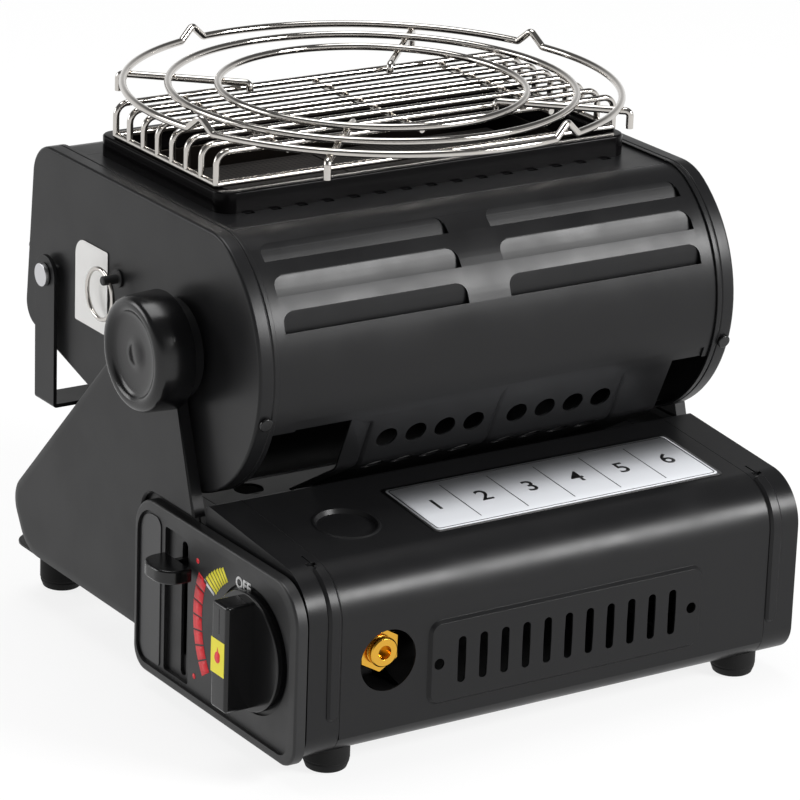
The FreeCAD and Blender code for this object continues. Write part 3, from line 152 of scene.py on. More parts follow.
def make_looks(colours, sizes):
    """All finishes of the heater, by name."""
    looks = {}
    # Polyester powder coat on sheet steel: near black, satin, with a fine orange peel.
    look, tree, shader = new_look("powder_coated_steel", colours.powder, 0.4,
                                  Specular_IOR_Level=0.22)
    grain(tree, shader, sizes.coat_grain, 0.000012, rough=(0.29, 0.39))
    looks["powder"] = look
    # Vitreous enamel on steel: black, flowed flat, mirror-like.
    look, tree, shader = new_look("black_enamelled_steel", colours.enamel, 0.12,
                                  Specular_IOR_Level=0.06)
    grain(tree, shader, 0.02, 0.00004, rough=(0.08, 0.2))
    looks["enamel"] = look
    # Chromed mild-steel wire: bright, with a faint warm tint from the burner below.
    look, tree, shader = new_look("chromed_wire", srgb("C2BEB9"), 0.08, 1.0)
    grain(tree, shader, 0.004, 0.00002, rough=(0.05, 0.16))
    looks["chrome"] = look
    # Zinc-plated steel: grey, slightly dull.
    look, tree, shader = new_look("zinc_plated_steel", srgb("C6C6C8"), 0.35, 1.0)
    grain(tree, shader, 0.003, 0.00001, rough=(0.28, 0.42))
    looks["zinc"] = look
    # ABS, moulded and lightly spark-textured: soft sheen.
    look, tree, shader = new_look("moulded_abs", colours.plastic, 0.45, Specular_IOR_Level=0.45)
    grain(tree, shader, 0.0005, 0.000012, rough=(0.4, 0.5))
    looks["abs"] = look
    # ABS, moulded in a polished tool: glossy black knobs.
    look, tree, shader = new_look("polished_abs", srgb("0E0E0F"), 0.22, Specular_IOR_Level=0.4)
    grain(tree, shader, 0.006, 0.00001, rough=(0.16, 0.28))
    looks["knob"] = look
    # Turned brass: yellow metal, bright.
    look, tree, shader = new_look("turned_brass", srgb("D9A640"), 0.22, 1.0)
    grain(tree, shader, 0.0015, 0.00001, rough=(0.16, 0.3))
    looks["brass"] = look
    # Aluminium-foil label, brushed along its length.
    look, tree, shader = new_look("brushed_foil", srgb("C8CACE"), 0.42, 0.1, Specular_IOR_Level=0.3)
    grain(tree, shader, 0.0012, 0.000012, rough=(0.36, 0.5), stretch=(0.04, 1.0, 1.0))
    looks["foil"] = look
    # Coated paper sticker: soft white.
    look, tree, shader = new_look("coated_paper", srgb("E4E3E1"), 0.5)
    grain(tree, shader, 0.001, 0.000008)
    looks["paper"] = look
    # Nitrile rubber: deep black, matte, slightly dusty.
    look, tree, shader = new_look("nitrile_rubber", srgb("101010"), 0.7, Specular_IOR_Level=0.2)
    grain(tree, shader, 0.0008, 0.00004, rough=(0.62, 0.78))
    looks["rubber"] = look
    # Stainless sheet round the burner: a brownish heat stain, drawn dark as painted shade of the
    # space round the burner.
    look, tree, shader = new_look("heat_stain_and_shade_steel", srgb("2E2A27"), 0.4, 1.0)
    grain(tree, shader, 0.004, 0.00002, rough=(0.32, 0.5))
    looks["stain_and_shade"] = look
    # Porous ceramic burner tile, dull, drawn dark as painted shade of the space round the burner,
    # with fine flame
    #     # holes painted black as painted shade inside them. The real holes sit about 1.5 mm apart;
    #     they are
    #     # drawn 2.4 mm apart, so that they show.
    look, tree, shader = new_look("burner_ceramic", srgb("2C2825"), 0.9)
    place = add(tree, "TexCoord").outputs["Object"]
    cells = add(tree, "TexVoronoi",
                {"voronoi_dimensions": "2D", "Scale": 1 / 0.0024, "Randomness": 0.0}, Vector=place)
    ramp = add(tree, "ValToRGB", Fac=cells.outputs["Distance"])
    # Near each cell's middle the tile is painted black: painted shade inside a flame hole.
    ramp.color_ramp.elements[0].position = 0.28
    ramp.color_ramp.elements[0].color = (0.004, 0.004, 0.004, 1)
    # Between the holes the tile is painted dark: painted shade of the space round the burner.
    ramp.color_ramp.elements[1].position = 0.36
    ramp.color_ramp.elements[1].color = (*srgb("2C2825"), 1)
    tree.links.new(ramp.outputs[0], shader.inputs["Base Color"])
    looks["ceramic"] = look
    # Screen-printing inks: thin, even and slightly glossy.
    inks = (("ink", "08080A"), ("ink_red", "E01E2B"), ("ink_yellow", "E8DC2C"),
            ("ink_white", "DCDCDC"))
    for name, code in inks:
        look, tree, shader = new_look("print_" + name, srgb(code), 0.45)
        grain(tree, shader, 0.0012, 0.000004, rough=(0.4, 0.5))
        looks[name] = look
    # Name strip: smooth black film set in the panel.
    look, tree, shader = new_look("black_film", srgb("1A1A1C"), 0.3)
    grain(tree, shader, 0.003, 0.000006, rough=(0.26, 0.34))
    looks["strip"] = look
    # Mild steel with heat-resistant matte black paint.
    look, tree, shader = new_look("matte_black_steel", srgb("19191A"), 0.6)
    grain(tree, shader, 0.0008, 0.00002, rough=(0.52, 0.66))
    looks["matte"] = look
    return looks


# The frame's nodes by finish, and the ones that stay in view with the width of their soft edges.
FINISHES = {
    "powder": ["base_pan", "end_cap_left", "end_cap_right", "rear_deck", "bay_lid", "stand_left",
               "stand_right", "rear_brace", "head_end_left", "head_end_right", "front_casing",
               "top_frame", "rear_cover", "carry_handle", "air_apron"],
    "matte": ["lock_yoke", "cartridge_cradle", "pivot_bushes", "jet_holder", "mixing_tube",
              "valve_block"],
    "enamel": ["burner_tray"],
    "chrome": ["wire_guard", "pan_ring_outer", "pan_ring_middle", "pan_ring_inner", "pan_bars",
               "pull_ring"],
    "zinc": ["hinge_pins", "knob_spindle", "pivot_studs", "handle_screws", "spark_electrode",
             "flame_sensor"],
    "abs": ["control_bezel", "lock_lever", "nameplate", "piezo_unit"],
    "knob": ["casing_screws", "gas_knob", "tilt_knob_left", "tilt_knob_right"],
    "brass": ["gas_nipple", "nipple_collar", "outlet_elbow"],
    "foil": ["bay_label"],
    "paper": ["head_label"],
    "rubber": ["front_feet", "rear_feet"],
    # The sheets round the burner are drawn dark: heat stain and painted shade.
    "stain_and_shade": ["reflector", "burner_box"],
    "ceramic": ["plaque_left", "plaque_right"],
}
SOFT_EDGES = {"end_cap_left": 0.5, "end_cap_right": 0.5, "base_pan": 0.4, "rear_deck": 0.3,
              "rear_cover": 0.25, "carry_handle": 0.35, "handle_screws": 0.4, "casing_screws": 0.4,
              "pivot_bushes": 0.3, "rear_brace": 0.3, "reflector": 0.2, "plaque_left": 0.3,
              "plaque_right": 0.3}
# The finishes once they are made, by name.
LOOKS = {}


# Side-view outlines as arcs: centre Y, centre Z, radius, first and last heading in degrees.
# Heading 0 points to the front and 90 upwards; straight runs join the arcs.
HEAD = ((*PIVOT, 57.5, -105.23, 54.65), (-34.8, 170.5, 25.0, 54.65, 90.0),
        (91.69, 181.5, 14.0, 90.0, 174.46), (101.03, 126.63, 10.0, 174.46, 254.77))
LID = ((-118.5, 16.6, 0.0, 0.0, 0.0), (-98.5, 63.276, 20.0, 0.0, 84.8),
       (-44.6, 85.753, 2.5, 84.8, 180.0), (-42.1, 81.2, 0.0, 180.0, 180.0))
CASING = ((*PIVOT, 56.5, -22.4, 54.65), (-34.8, 170.5, 24.0, 54.65, 90.0))
APRON = ((-24.0, 79.5, 0.0, -59.5, -59.5), (-50.54, 104.4, 8.0, -59.5, -24.0),
         (*PIVOT, 55.7, -22.4, -14.5))
BEZEL = ((-109.5, 17.5, 10.0, -90.0, 0.0), (-102.5, 63.5, 17.0, 0.0, 90.0),
         (-12.0, 66.5, 14.0, 90.0, 180.0), (-7.0, 16.5, 9.0, 180.0, 270.0))
BEZEL_FACE = ((-107.5, 18.0, 7.0, -90.0, 0.0), (-101.5, 63.3, 13.0, 0.0, 90.0),
              (-11.7, 64.8, 11.5, 90.0, 180.0), (-7.2, 18.0, 7.0, 180.0, 270.0))


def spot(y, z, r, heading):
    """Point at a distance and heading from a centre."""
    a = math.radians(heading)
    return Vector((0.0, y - r * math.cos(a), z + r * math.sin(a)))


def walk(bm, arcs, x=0.0, step=6.0):
    """Face at x inside an outline of arcs and straight runs."""
    ends = []
    for y, z, r, start, stop in arcs:
        first = last = bm.verts.new(spot(y, z, r, start) + Vector((x, 0, 0)))
        if stop != start:
            made = bmesh.ops.spin(bm, geom=[first], cent=(x, y, z), axis=(1, 0, 0),
                                  angle=math.radians(start - stop),
                                  steps=max(1, round(abs(stop - start) / step)))
            last = next(g for g in made["geom_last"] if isinstance(g, bmesh.types.BMVert))
        ends.append((first, last))
    for (_, last), (first, _) in zip(ends, ends[1:] + ends[:1]):
        if (last.co - first.co).length > 0.02:
            bm.edges.new((last, first))
    loose = [v for v in bm.verts if not v.link_faces]
    bmesh.ops.remove_doubles(bm, verts=loose, dist=0.02)
    edges = [e for e in bm.edges if not e.link_faces]
    return bmesh.ops.contextual_create(bm, geom=edges)["faces"][0]


def quad(y0, y1, z0, z1, r):
    """Outline of an upright rectangle with round corners."""
    return ((y0 + r, z0 + r, r, -90.0, 0.0), (y0 + r, z1 - r, r, 0.0, 90.0),
            (y1 - r, z1 - r, r, 90.0, 180.0), (y1 - r, z0 + r, r, 180.0, 270.0))


def runs(arcs):
    """Runs of an outline: from length, to length, and the line's ends or the arc."""
    made, at, here = [], 0.0, None
    for y, z, r, start, stop in arcs:
        there = spot(y, z, r, start)
        if here is not None and (there - here).length > 1e-4:
            made.append((at, at + (there - here).length, (here, there, start)))
            at += (there - here).length
        if stop != start:
            length = r * math.radians(stop - start)
            made.append((at, at + length, (y, z, r, start, stop)))
            at += length
        here = spot(y, z, r, stop)
    return made


def cut(bm, place, axis):
    """Adds edges where a plane through a place crosses the shape."""
    bmesh.ops.bisect_plane(bm, geom=bm.verts[:] + bm.edges[:] + bm.faces[:], dist=0.001,
                           plane_co=place, plane_no=axis)


def bend(bm, arcs, step=5.0):
    """Bends a flat sheet (X, length, height) along an outline."""
    path = runs(arcs)
    for low, high, run in path:
        if len(run) == 5:
            count = max(1, round((run[4] - run[3]) / step))
            for i in range(count + 1):
                cut(bm, (0, low + (high - low) * i / count, 0), (0, 1, 0))
    for vert in bm.verts:
        x, u, h = vert.co
        low, high, run = next((p for p in path if u <= p[1] + 1e-4), path[-1])
        if len(run) == 5:
            heading = run[3] + (run[4] - run[3]) * (u - low) / (high - low)
            place = spot(run[0], run[1], run[2] + h, heading)
        else:
            place = run[0].lerp(run[1], (u - low) / (high - low)) + spot(0, 0, h, run[2])
        vert.co = (x, place.y, place.z)


def loop_of(bm, face):
    """Takes a face away and gives the loop of edges round it."""
    edges = list(face.edges)
    bm.faces.remove(face)
    return edges


def round_edges(bm, edges, width, segments=3):
    """Rounds edges of a shape by a width."""
    bmesh.ops.bevel(bm, geom=edges, affect="EDGES", offset=width, segments=segments, profile=0.5,
                    material=-1)


def rectangle(bm, x0, x1, u0, u1, radius=0.0, height=0.0, upper=False):
    """Loop of edges round a rectangle, with all corners or only the upper ones rounded."""
    verts = bmesh.ops.create_grid(bm, x_segments=1, y_segments=1, size=0.5)["verts"]
    bmesh.ops.scale(bm, vec=(x1 - x0, u1 - u0, 1), verts=verts)
    bmesh.ops.translate(bm, vec=((x0 + x1) / 2, (u0 + u1) / 2, height), verts=verts)
    face = verts[0].link_faces[0]
    known = set(bm.faces) - {face}
    if radius:
        picked = [v for v in verts if not upper or v.co.y > (u0 + u1) / 2]
        bmesh.ops.bevel(bm, geom=picked, affect="VERTICES", offset=radius, segments=5,
                        profile=0.5, material=-1)
        face = next(f for f in bm.faces if f not in known)
    return loop_of(bm, face)


def circle(bm, place, r, axis="Z", segments=32):
    """Loop of edges round a circle that looks along an axis."""
    turn = {"Z": Matrix(), "X": Matrix.Rotation(math.pi / 2, 4, "Y"),
            "Y": Matrix.Rotation(math.pi / 2, 4, "X")}
    verts = bmesh.ops.create_circle(bm, cap_ends=False, segments=segments, radius=r,
                                    matrix=Matrix.Translation(place) @ turn[axis])["verts"]
    return list(dict.fromkeys(e for v in verts for e in v.link_edges))


def slot_loop(bm, place, length, width, axis="Z", along=1):
    """Loop of edges round a slot with round ends."""
    edges = circle(bm, place, width / 2, axis, 16)
    for vert in {v for e in edges for v in e.verts}:
        if abs(vert.co[along] - place[along]) > 1e-4:
            vert.co[along] += math.copysign((length - width) / 2, vert.co[along] - place[along])
    return edges


def fill(bm, *loops):
    """Flat faces between nested loops."""
    return bmesh.ops.triangle_fill(bm, use_beauty=True, edges=[e for loop in loops for e in loop])


def bridge(bm, one, other):
    """Faces between two loops of edges."""
    return bmesh.ops.bridge_loops(bm, edges=one + other)["faces"]


def push(bm, faces, vec):
    """Extrudes a region of faces and moves it; gives the moved faces."""
    made = bmesh.ops.extrude_face_region(bm, geom=faces)["geom"]
    bmesh.ops.translate(bm, vec=vec, verts=[g for g in made if isinstance(g, bmesh.types.BMVert)])
    return [g for g in made if isinstance(g, bmesh.types.BMFace)]


def skirt(bm, edges, vec):
    """Extrudes a loop of edges into a wall; gives the loop at its end."""
    made = bmesh.ops.extrude_edge_only(bm, edges=edges)["geom"]
    bmesh.ops.translate(bm, vec=vec, verts=[g for g in made if isinstance(g, bmesh.types.BMVert)])
    return [g for g in made if isinstance(g, bmesh.types.BMEdge)]


def turned(bm, profile, centre, axis, steps=48):
    """Turned shape from a profile of (along the axis, radius) about X, Y or Z through a centre."""
    along = Vector([float(axis == name) for name in "XYZ"])
    out = Vector((0, 1, 0)) if axis != "Y" else Vector((1, 0, 0))
    verts = [bm.verts.new(Vector(centre) + along * a + out * r) for a, r in profile]
    edges = [bm.edges.new(pair) for pair in zip(verts, verts[1:])]
    bmesh.ops.spin(bm, geom=verts + edges, cent=centre, axis=along, angle=math.tau, steps=steps,
                   use_merge=True)
    bmesh.ops.remove_doubles(bm, verts=bm.verts, dist=0.002)


def block(bm, x0, x1, y0, y1, z0, z1, soft=0.0, pick=None, segments=3):
    """Block with its edges, or the picked ones, rounded."""
    new = bmesh.ops.create_cube(bm, size=1.0)["verts"]
    bmesh.ops.scale(bm, vec=(x1 - x0, y1 - y0, z1 - z0), verts=new)
    bmesh.ops.translate(bm, vec=((x0 + x1) / 2, (y0 + y1) / 2, (z0 + z1) / 2), verts=new)
    edges = dict.fromkeys(e for v in new for e in v.link_edges)
    if soft:
        round_edges(bm, [e for e in edges if pick is None or pick(e)], soft, segments)


def flip_x(bm):
    """Adds the same shape on the other side of the middle."""
    bmesh.ops.mirror(bm, geom=bm.verts[:] + bm.edges[:] + bm.faces[:], axis="X", merge_dist=-1.0)


def mirrored(bm):
    """Turns a left piece into a right one."""
    bmesh.ops.scale(bm, vec=(-1, 1, 1), verts=bm.verts)
    return bm


def piece(name, bm, look, body, nodes=(), wall=0.0, soft=0.0, angle=32.0, offset=-1.0):
    """Places a drawn piece, gives it wall thickness and soft edges, and hangs it on its body.

    It stands for the frame's nodes that are named, and its slot names the finish that it shows.
    """
    bmesh.ops.remove_doubles(bm, verts=bm.verts, dist=0.003)
    bmesh.ops.recalc_face_normals(bm, faces=bm.faces)
    bmesh.ops.translate(bm, vec=(0, DEPTH_SHIFT, 0), verts=bm.verts)
    bmesh.ops.scale(bm, vec=(MM, MM, MM), verts=bm.verts)
    for face in bm.faces:
        face.smooth = bool(soft) or not wall
    mesh = bpy.data.meshes.new(name)
    bm.to_mesh(mesh)
    bm.free()
    mesh.set_sharp_from_angle(angle=math.radians(angle))
    mesh.materials.append(LOOKS[look])
    obj = bpy.data.objects.new(name, mesh)
    bpy.context.scene.collection.objects.link(obj)
    if wall:
        shell = obj.modifiers.new("wall", "SOLIDIFY")
        shell.thickness = wall * MM
        shell.offset = offset
    if soft:
        soften(obj, soft)
    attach(obj, body)
    if nodes:
        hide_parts(*nodes)
    return obj


def soften(obj, width, angle=35.0):
    """Rounds an object's sharp edges by a width in millimetres."""
    edge = obj.modifiers.new("soft_edges", "BEVEL")
    edge.width = width * MM
    edge.segments = 2
    edge.limit_method = "ANGLE"
    edge.angle_limit = math.radians(angle)
    edge.harden_normals = True
    obj.modifiers.new("even_normals", "WEIGHTED_NORMAL").keep_sharp = True


def polygon(bm, corners):
    """Loop of edges through flat corners."""
    verts = [bm.verts.new((x, u, 0.0)) for x, u in corners]
    return [bm.edges.new(pair) for pair in zip(verts, verts[1:] + verts[:1])]


def arc_mark(bm, x, r0, r1, a0, a1):
    """Flat piece of a ring about the gas knob; angles rise from the rear."""
    a = math.radians(a0)
    ends = [bm.verts.new((x, KNOB[0] + r * math.cos(a), KNOB[1] + r * math.sin(a)))
            for r in (r0, r1)]
    bmesh.ops.spin(bm, geom=ends + [bm.edges.new(ends)], cent=(x, *KNOB), axis=(1, 0, 0),
                   angle=math.radians(a1 - a0), steps=3)


def text_shape(bm, word, high, matrix, weight=0.01):
    """Adds the flat shape of a word, put in place by a matrix; weight thickens its strokes."""
    curve = bpy.data.curves.new(word, "FONT")
    curve.body = word
    curve.size = high
    curve.align_x = curve.align_y = "CENTER"
    curve.offset = weight * high
    text = bpy.data.objects.new(word, curve)
    bpy.context.scene.collection.objects.link(text)
    bpy.context.view_layer.update()
    mesh = bpy.data.meshes.new_from_object(text)
    bpy.data.objects.remove(text)
    known = set(bm.verts)
    bm.from_mesh(mesh)
    bmesh.ops.transform(bm, matrix=matrix, verts=[v for v in bm.verts if v not in known])


class GH_OT_finishes(bpy.types.Operator):
    """Make the finishes and put them on the frame's own pieces"""
    bl_idname = "gas_heater.finishes"
    bl_label = "Finishes"

    def execute(self, context):
        scene = context.scene
        LOOKS.update(make_looks(scene.gh_colours, scene.gh_sizes))
        for name, nodes in FINISHES.items():
            for node in nodes:
                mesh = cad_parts[node].data
                mesh.materials.clear()
                mesh.materials.append(LOOKS[name])
        return {"FINISHED"}


class GH_OT_bay_lid(bpy.types.Operator):
    """Model the hinged lid of the gas bay, with its slotted panel, and the bare label on it"""
    bl_idname = "gas_heater.bay_lid"
    bl_label = "Bay Lid"

    def execute(self, context):
        self.sheet(context.scene.gh_sizes.lid_half / MM + SEAM)
        self.label()
        return {"FINISHED"}

    def sheet(self, half):
        """The sheet is drawn flat, with its front edge at 0, and bent along the lid's outline."""
        bm = bmesh.new()
        edge = rectangle(bm, -half, half, 0.0, runs(LID)[-1][1])
        panel = rectangle(bm, -61.5, 67.5, 5.7, 40.2, 5.0)
        inlet = circle(bm, (-79.4, 28.3, 0.0), 12.4, segments=48)
        dimple = (-73.83, 98.93)
        dish = circle(bm, (*dimple, 0.0), 13.6, segments=48)
        fill(bm, edge, panel, inlet, dish)
        # The slotted panel is pressed out, with a row of upright slots between two round holes.
        rise, row = 1.4, 22.7
        raised = rectangle(bm, -60.3, 66.3, 6.9, 39.0, 3.8, height=rise)
        bridge(bm, panel, raised)
        slots = [slot_loop(bm, (3.0 + 9.94 * i, row, rise), 19.0, 3.8) for i in range(-5, 6)]
        holes = [circle(bm, (x, row, rise), 2.3, segments=16) for x in (-57.0, 62.2)]
        fill(bm, raised, *slots, *holes)
        # The round dimple has a low rim and a floor below the sheet.
        for r, height in ((13.0, 0.5), (12.3, 0.5), (11.3, -1.2)):
            ring = circle(bm, (*dimple, height), r, segments=48)
            bridge(bm, dish, ring)
            dish = ring
        fill(bm, dish)
        bend(bm, LID)
        ear = ((-43.5, 84.0, 3.0, -180.0, 0.0), (-46.5, 87.2, 0.0, 0.0, 0.0),
               (-42.6, 87.4, 0.0, 0.0, 0.0))
        for x in (-94.5, 94.5):
            walk(bm, ear, x)
        piece("bay_lid_sheet", bm, "powder", "lid", ["bay_lid"], wall=0.9,
              soft=0.3)

    def label(self):
        """Foil label with a dark border, a thin frame and six numbered columns."""
        layers = (("label_border", "ink", 0.0, 0.2), ("label_foil", "foil", 1.3, 0.26))
        for name, look, gap, height in layers:
            bm = bmesh.new()
            fill(bm, rectangle(bm, -46 + gap, 91.5 - gap, 78.4 + gap, 119.3 - gap, 2.0,
                               height=height))
            bend(bm, LID)
            piece(name, bm, look, "lid", ["bay_label"], wall=0.15)
        columns, wide, height = 6, 22.15, 0.3
        bm = bmesh.new()
        fill(bm, rectangle(bm, -43.8, 89.3, 80.6, 117.1, 1.6, height=height),
             rectangle(bm, -43.4, 88.9, 81.0, 116.7, 1.3, height=height))
        for i in range(1, columns):
            x = -43.6 + wide * i
            fill(bm, rectangle(bm, x - 0.2, x + 0.2, 84.0, 113.7, height=height))
        for i in range(columns):
            text_shape(bm, str(i + 1), 12.0, Matrix.Translation((-32.5 + wide * i, 98.8, height)))
        bend(bm, LID)
        piece("label_numbers", bm, "ink", "lid", (), wall=0.04, offset=0.0)


class GH_OT_cap_beads(bpy.types.Operator):
    """Model the pressed stiffening bead on each end cap of the base"""
    bl_idname = "gas_heater.cap_beads"
    bl_label = "Cap Beads"

    def execute(self, context):
        bm = bmesh.new()
        middle = (103.7, 40.2)
        foot = slot_loop(bm, (*middle, -0.1), 64.0, 6.0)
        side = slot_loop(bm, (*middle, 0.25), 64.0, 6.0)
        crest = slot_loop(bm, (*middle, 1.2), 61.8, 3.8)
        fill(bm, foot)
        bridge(bm, foot, side)
        bridge(bm, side, crest)
        fill(bm, crest)
        bend(bm, LID)
        flip_x(bm)
        piece("cap_beads", bm, "powder", "base", (), soft=0.3)
        return {"FINISHED"}


class GH_OT_gas_inlet(bpy.types.Operator):
    """Model the brass gas inlet and its hexagon nut"""
    bl_idname = "gas_heater.gas_inlet"
    bl_label = "Gas Inlet"

    def execute(self, context):
        x, z = -80.0, 47.5
        bm = bmesh.new()
        turned(bm, ((-103.0, 0.0), (-103.0, 5.0), (-111.5, 5.0), (-111.5, 6.0), (-113.3, 6.0),
                    (-113.6, 5.3), (-114.3, 5.3), (-114.6, 6.0), (-116.3, 6.0), (-116.9, 5.4),
                    (-116.9, 2.8), (-110.0, 2.6), (-110.0, 0.0)), (x, 0.0, z), "Y")
        piece("gas_inlet_turning", bm, "brass", "base", ["gas_nipple"], soft=0.12)
        bm = bmesh.new()
        edges = circle(bm, (x, -113.4, z), 9.6, "Y", 6)
        face = bmesh.ops.contextual_create(bm, geom=edges)["faces"]
        push(bm, face, (0, 10.3, 0))
        piece("gas_inlet_nut", bm, "brass", "base", ["nipple_collar"], soft=0.5)
        return {"FINISHED"}


class GH_OT_feet(bpy.types.Operator):
    """Model the four turned rubber feet"""
    bl_idname = "gas_heater.feet"
    bl_label = "Feet"

    def execute(self, context):
        for name, y, top in (("front_feet", -104.5, 10.6), ("rear_feet", 104.5, 21.98)):
            bm = bmesh.new()
            for x in (-97.0, 97.0):
                turned(bm, ((0.02, 0.0), (0.02, 7.4), (0.5, 8.0), (3.2, 9.0), (3.8, 8.8),
                            (4.3, 9.15), (top, 9.15), (top, 0.0)), (x, y, 0.0), "Z", 40)
            piece(name + "_rubber", bm, "rubber", "base", [name], soft=0.25)
        return {"FINISHED"}


class GH_OT_control_panel(bpy.types.Operator):
    """Model the moulded control panel with its printed scale"""
    bl_idname = "gas_heater.control_panel"
    bl_label = "Control Panel"

    def execute(self, context):
        bm = bmesh.new()
        back = loop_of(bm, walk(bm, BEZEL, -116.2))
        rim = skirt(bm, back, (-4.8, 0, 0))
        inner = loop_of(bm, walk(bm, BEZEL_FACE, -121.0))
        fill(bm, rim, inner)
        fill(bm, back)
        round_edges(bm, rim, 1.1)
        # Inside the rim the field lies lower, with a cup for the knob and a trough for the lever.
        field = -119.5
        low = skirt(bm, inner, (1.5, 0, 0))
        trough = loop_of(bm, walk(bm, quad(-38.2, -19.4, 12.6, 72.6, 1.2), field))
        cup = circle(bm, (field, *KNOB), 25.4, "X", 64)
        fill(bm, low, trough, cup)
        trough_low = skirt(bm, trough, (1.9, 0, 0))
        slot = slot_loop(bm, (-117.6, -31.7, 42.0), 56.0, 4.6, "X", 2)
        fill(bm, trough_low, slot)
        skirt(bm, slot, (1.3, 0, 0))
        fill(bm, skirt(bm, cup, (1.4, 0, 0)))
        piece("control_panel_moulding", bm, "abs", "base", ["control_bezel"],
              soft=0.35)

        bm = bmesh.new()
        strip = ((-15.0, 14.0, 1.6, -90.0, 0.0), (-12.6, 70.4, 4.0, 0.0, 90.0),
                 (-10.2, 64.6, 9.8, 90.0, 180.0), (-6.8, 18.8, 6.4, 180.0, 270.0))
        push(bm, [walk(bm, strip, -119.55)], (-0.4, 0, 0))
        piece("name_strip", bm, "strip", "base", ["nameplate"], soft=0.2)
        self.prints()
        return {"FINISHED"}

    def prints(self):
        """Printed marks of the gas scale, drawn as thin shapes just off the panel."""
        x = -119.56
        red, yellow, white = bmesh.new(), bmesh.new(), bmesh.new()
        # The red arc has seven fields and a dot near each end.
        start, wide, gap = -34.0, 8.4, 0.9
        for i in range(7):
            arc_mark(red, x, 37.3, 43.8, start + wide * i, start + wide * (i + 1) - gap)
        for y, z in ((-44.5, 66.8), (-43.1, 18.3)):
            fill(red, circle(red, (x, y, z), 1.15, "X", 16))
        # Seven yellow bars grow shorter upwards from a white marker.
        for i in range(7):
            a = 25.5 + 3.5 * i
            arc_mark(yellow, x, 29.8 - 0.3 * i, 38.6 - 0.75 * i, a, a + 2.7)
        arc_mark(white, x, 31.0, 39.5, 22.3, 24.4)
        marks = (("scale_red", red, "ink_red"), ("scale_yellow", yellow, "ink_yellow"),
                 ("scale_marker", white, "ink_white"))
        for name, mark, look in marks:
            piece(name, mark, look, "base", (), wall=0.04, offset=0.0)
        left_side = Matrix(((0, 0, -1, x), (-1, 0, 0, -78.2), (0, 1, 0, 68.5), (0, 0, 0, 1)))
        bm = bmesh.new()
        text_shape(bm, "OFF", 6.2, left_side, 0.035)
        piece("off_word", bm, "ink_white", "base", (), wall=0.04, offset=0.0)


class GH_OT_controls(bpy.types.Operator):
    """Model the gas knob with its flag and the locking lever"""
    bl_idname = "gas_heater.controls"
    bl_label = "Knob and Lever"

    def execute(self, context):
        self.gas_knob()
        self.lever()
        return {"FINISHED"}

    def gas_knob(self):
        """Round flange with a grip bar across it, and the flag and flame on the bar."""
        y, z = KNOB
        bm = bmesh.new()
        turned(bm, ((-118.45, 0.0), (-118.45, 23.6), (-122.3, 23.6), (-122.7, 23.2),
                    (-122.7, 0.0)), (0.0, y, z), "X", 64)
        block(bm, -134.34, -119.0, y - 5.5, y + 5.5, z - 21.6, z + 21.6, 1.4,
              lambda e: max(v.co.x for v in e.verts) < -134.0 or
              abs(e.verts[0].co.x - e.verts[1].co.x) > 1.0)
        piece("gas_knob_moulding", bm, "knob", "gas_knob_body", ["gas_knob"],
              soft=0.15)
        print_depth = (-134.42, -134.2)
        bm = bmesh.new()
        block(bm, *print_depth, y - 0.35, y + 0.35, z + 9.5, z + 19.5)
        piece("knob_notch", bm, "ink", "gas_knob_body", ())
        bm = bmesh.new()
        block(bm, *print_depth, y - 4.3, y + 5.3, z - 7.2, z + 6.8)
        piece("knob_flag", bm, "ink_yellow", "gas_knob_body", ())
        # The flame is a disc with its upper half drawn up to a point.
        bm = bmesh.new()
        edges = circle(bm, (-134.46, y + 0.6, z - 0.6), 2.0, "X", 24)
        top = max({v for e in edges for v in e.verts}, key=lambda v: v.co.z)
        top.co.z += 2.6
        for vert in {v for e in edges for v in e.verts}:
            if vert is not top and vert.co.z > z + 0.4:
                vert.co.z += 0.7
                vert.co.y -= 0.3
        fill(bm, edges)
        piece("knob_flame", bm, "ink_red", "gas_knob_body", (), wall=0.04,
              offset=0.0)

    def lever(self):
        """Rounded paddle on a web that runs in the slot, with a guard plate behind the panel."""
        bm = bmesh.new()
        block(bm, -134.0, -121.5, -43.7, -22.7, 58.0, 63.6, 8.0,
              lambda e: abs(e.verts[0].co.z - e.verts[1].co.z) > 1.0 and
              e.verts[0].co.x < -133.9, 8)
        block(bm, -122.0, -112.2, -33.5, -29.9, 58.5, 63.5)
        block(bm, -113.4, -112.0, -38.2, -25.2, 52.0, 70.0)
        piece("lever_moulding", bm, "knob", "lever", ["lock_lever"], soft=1.4)


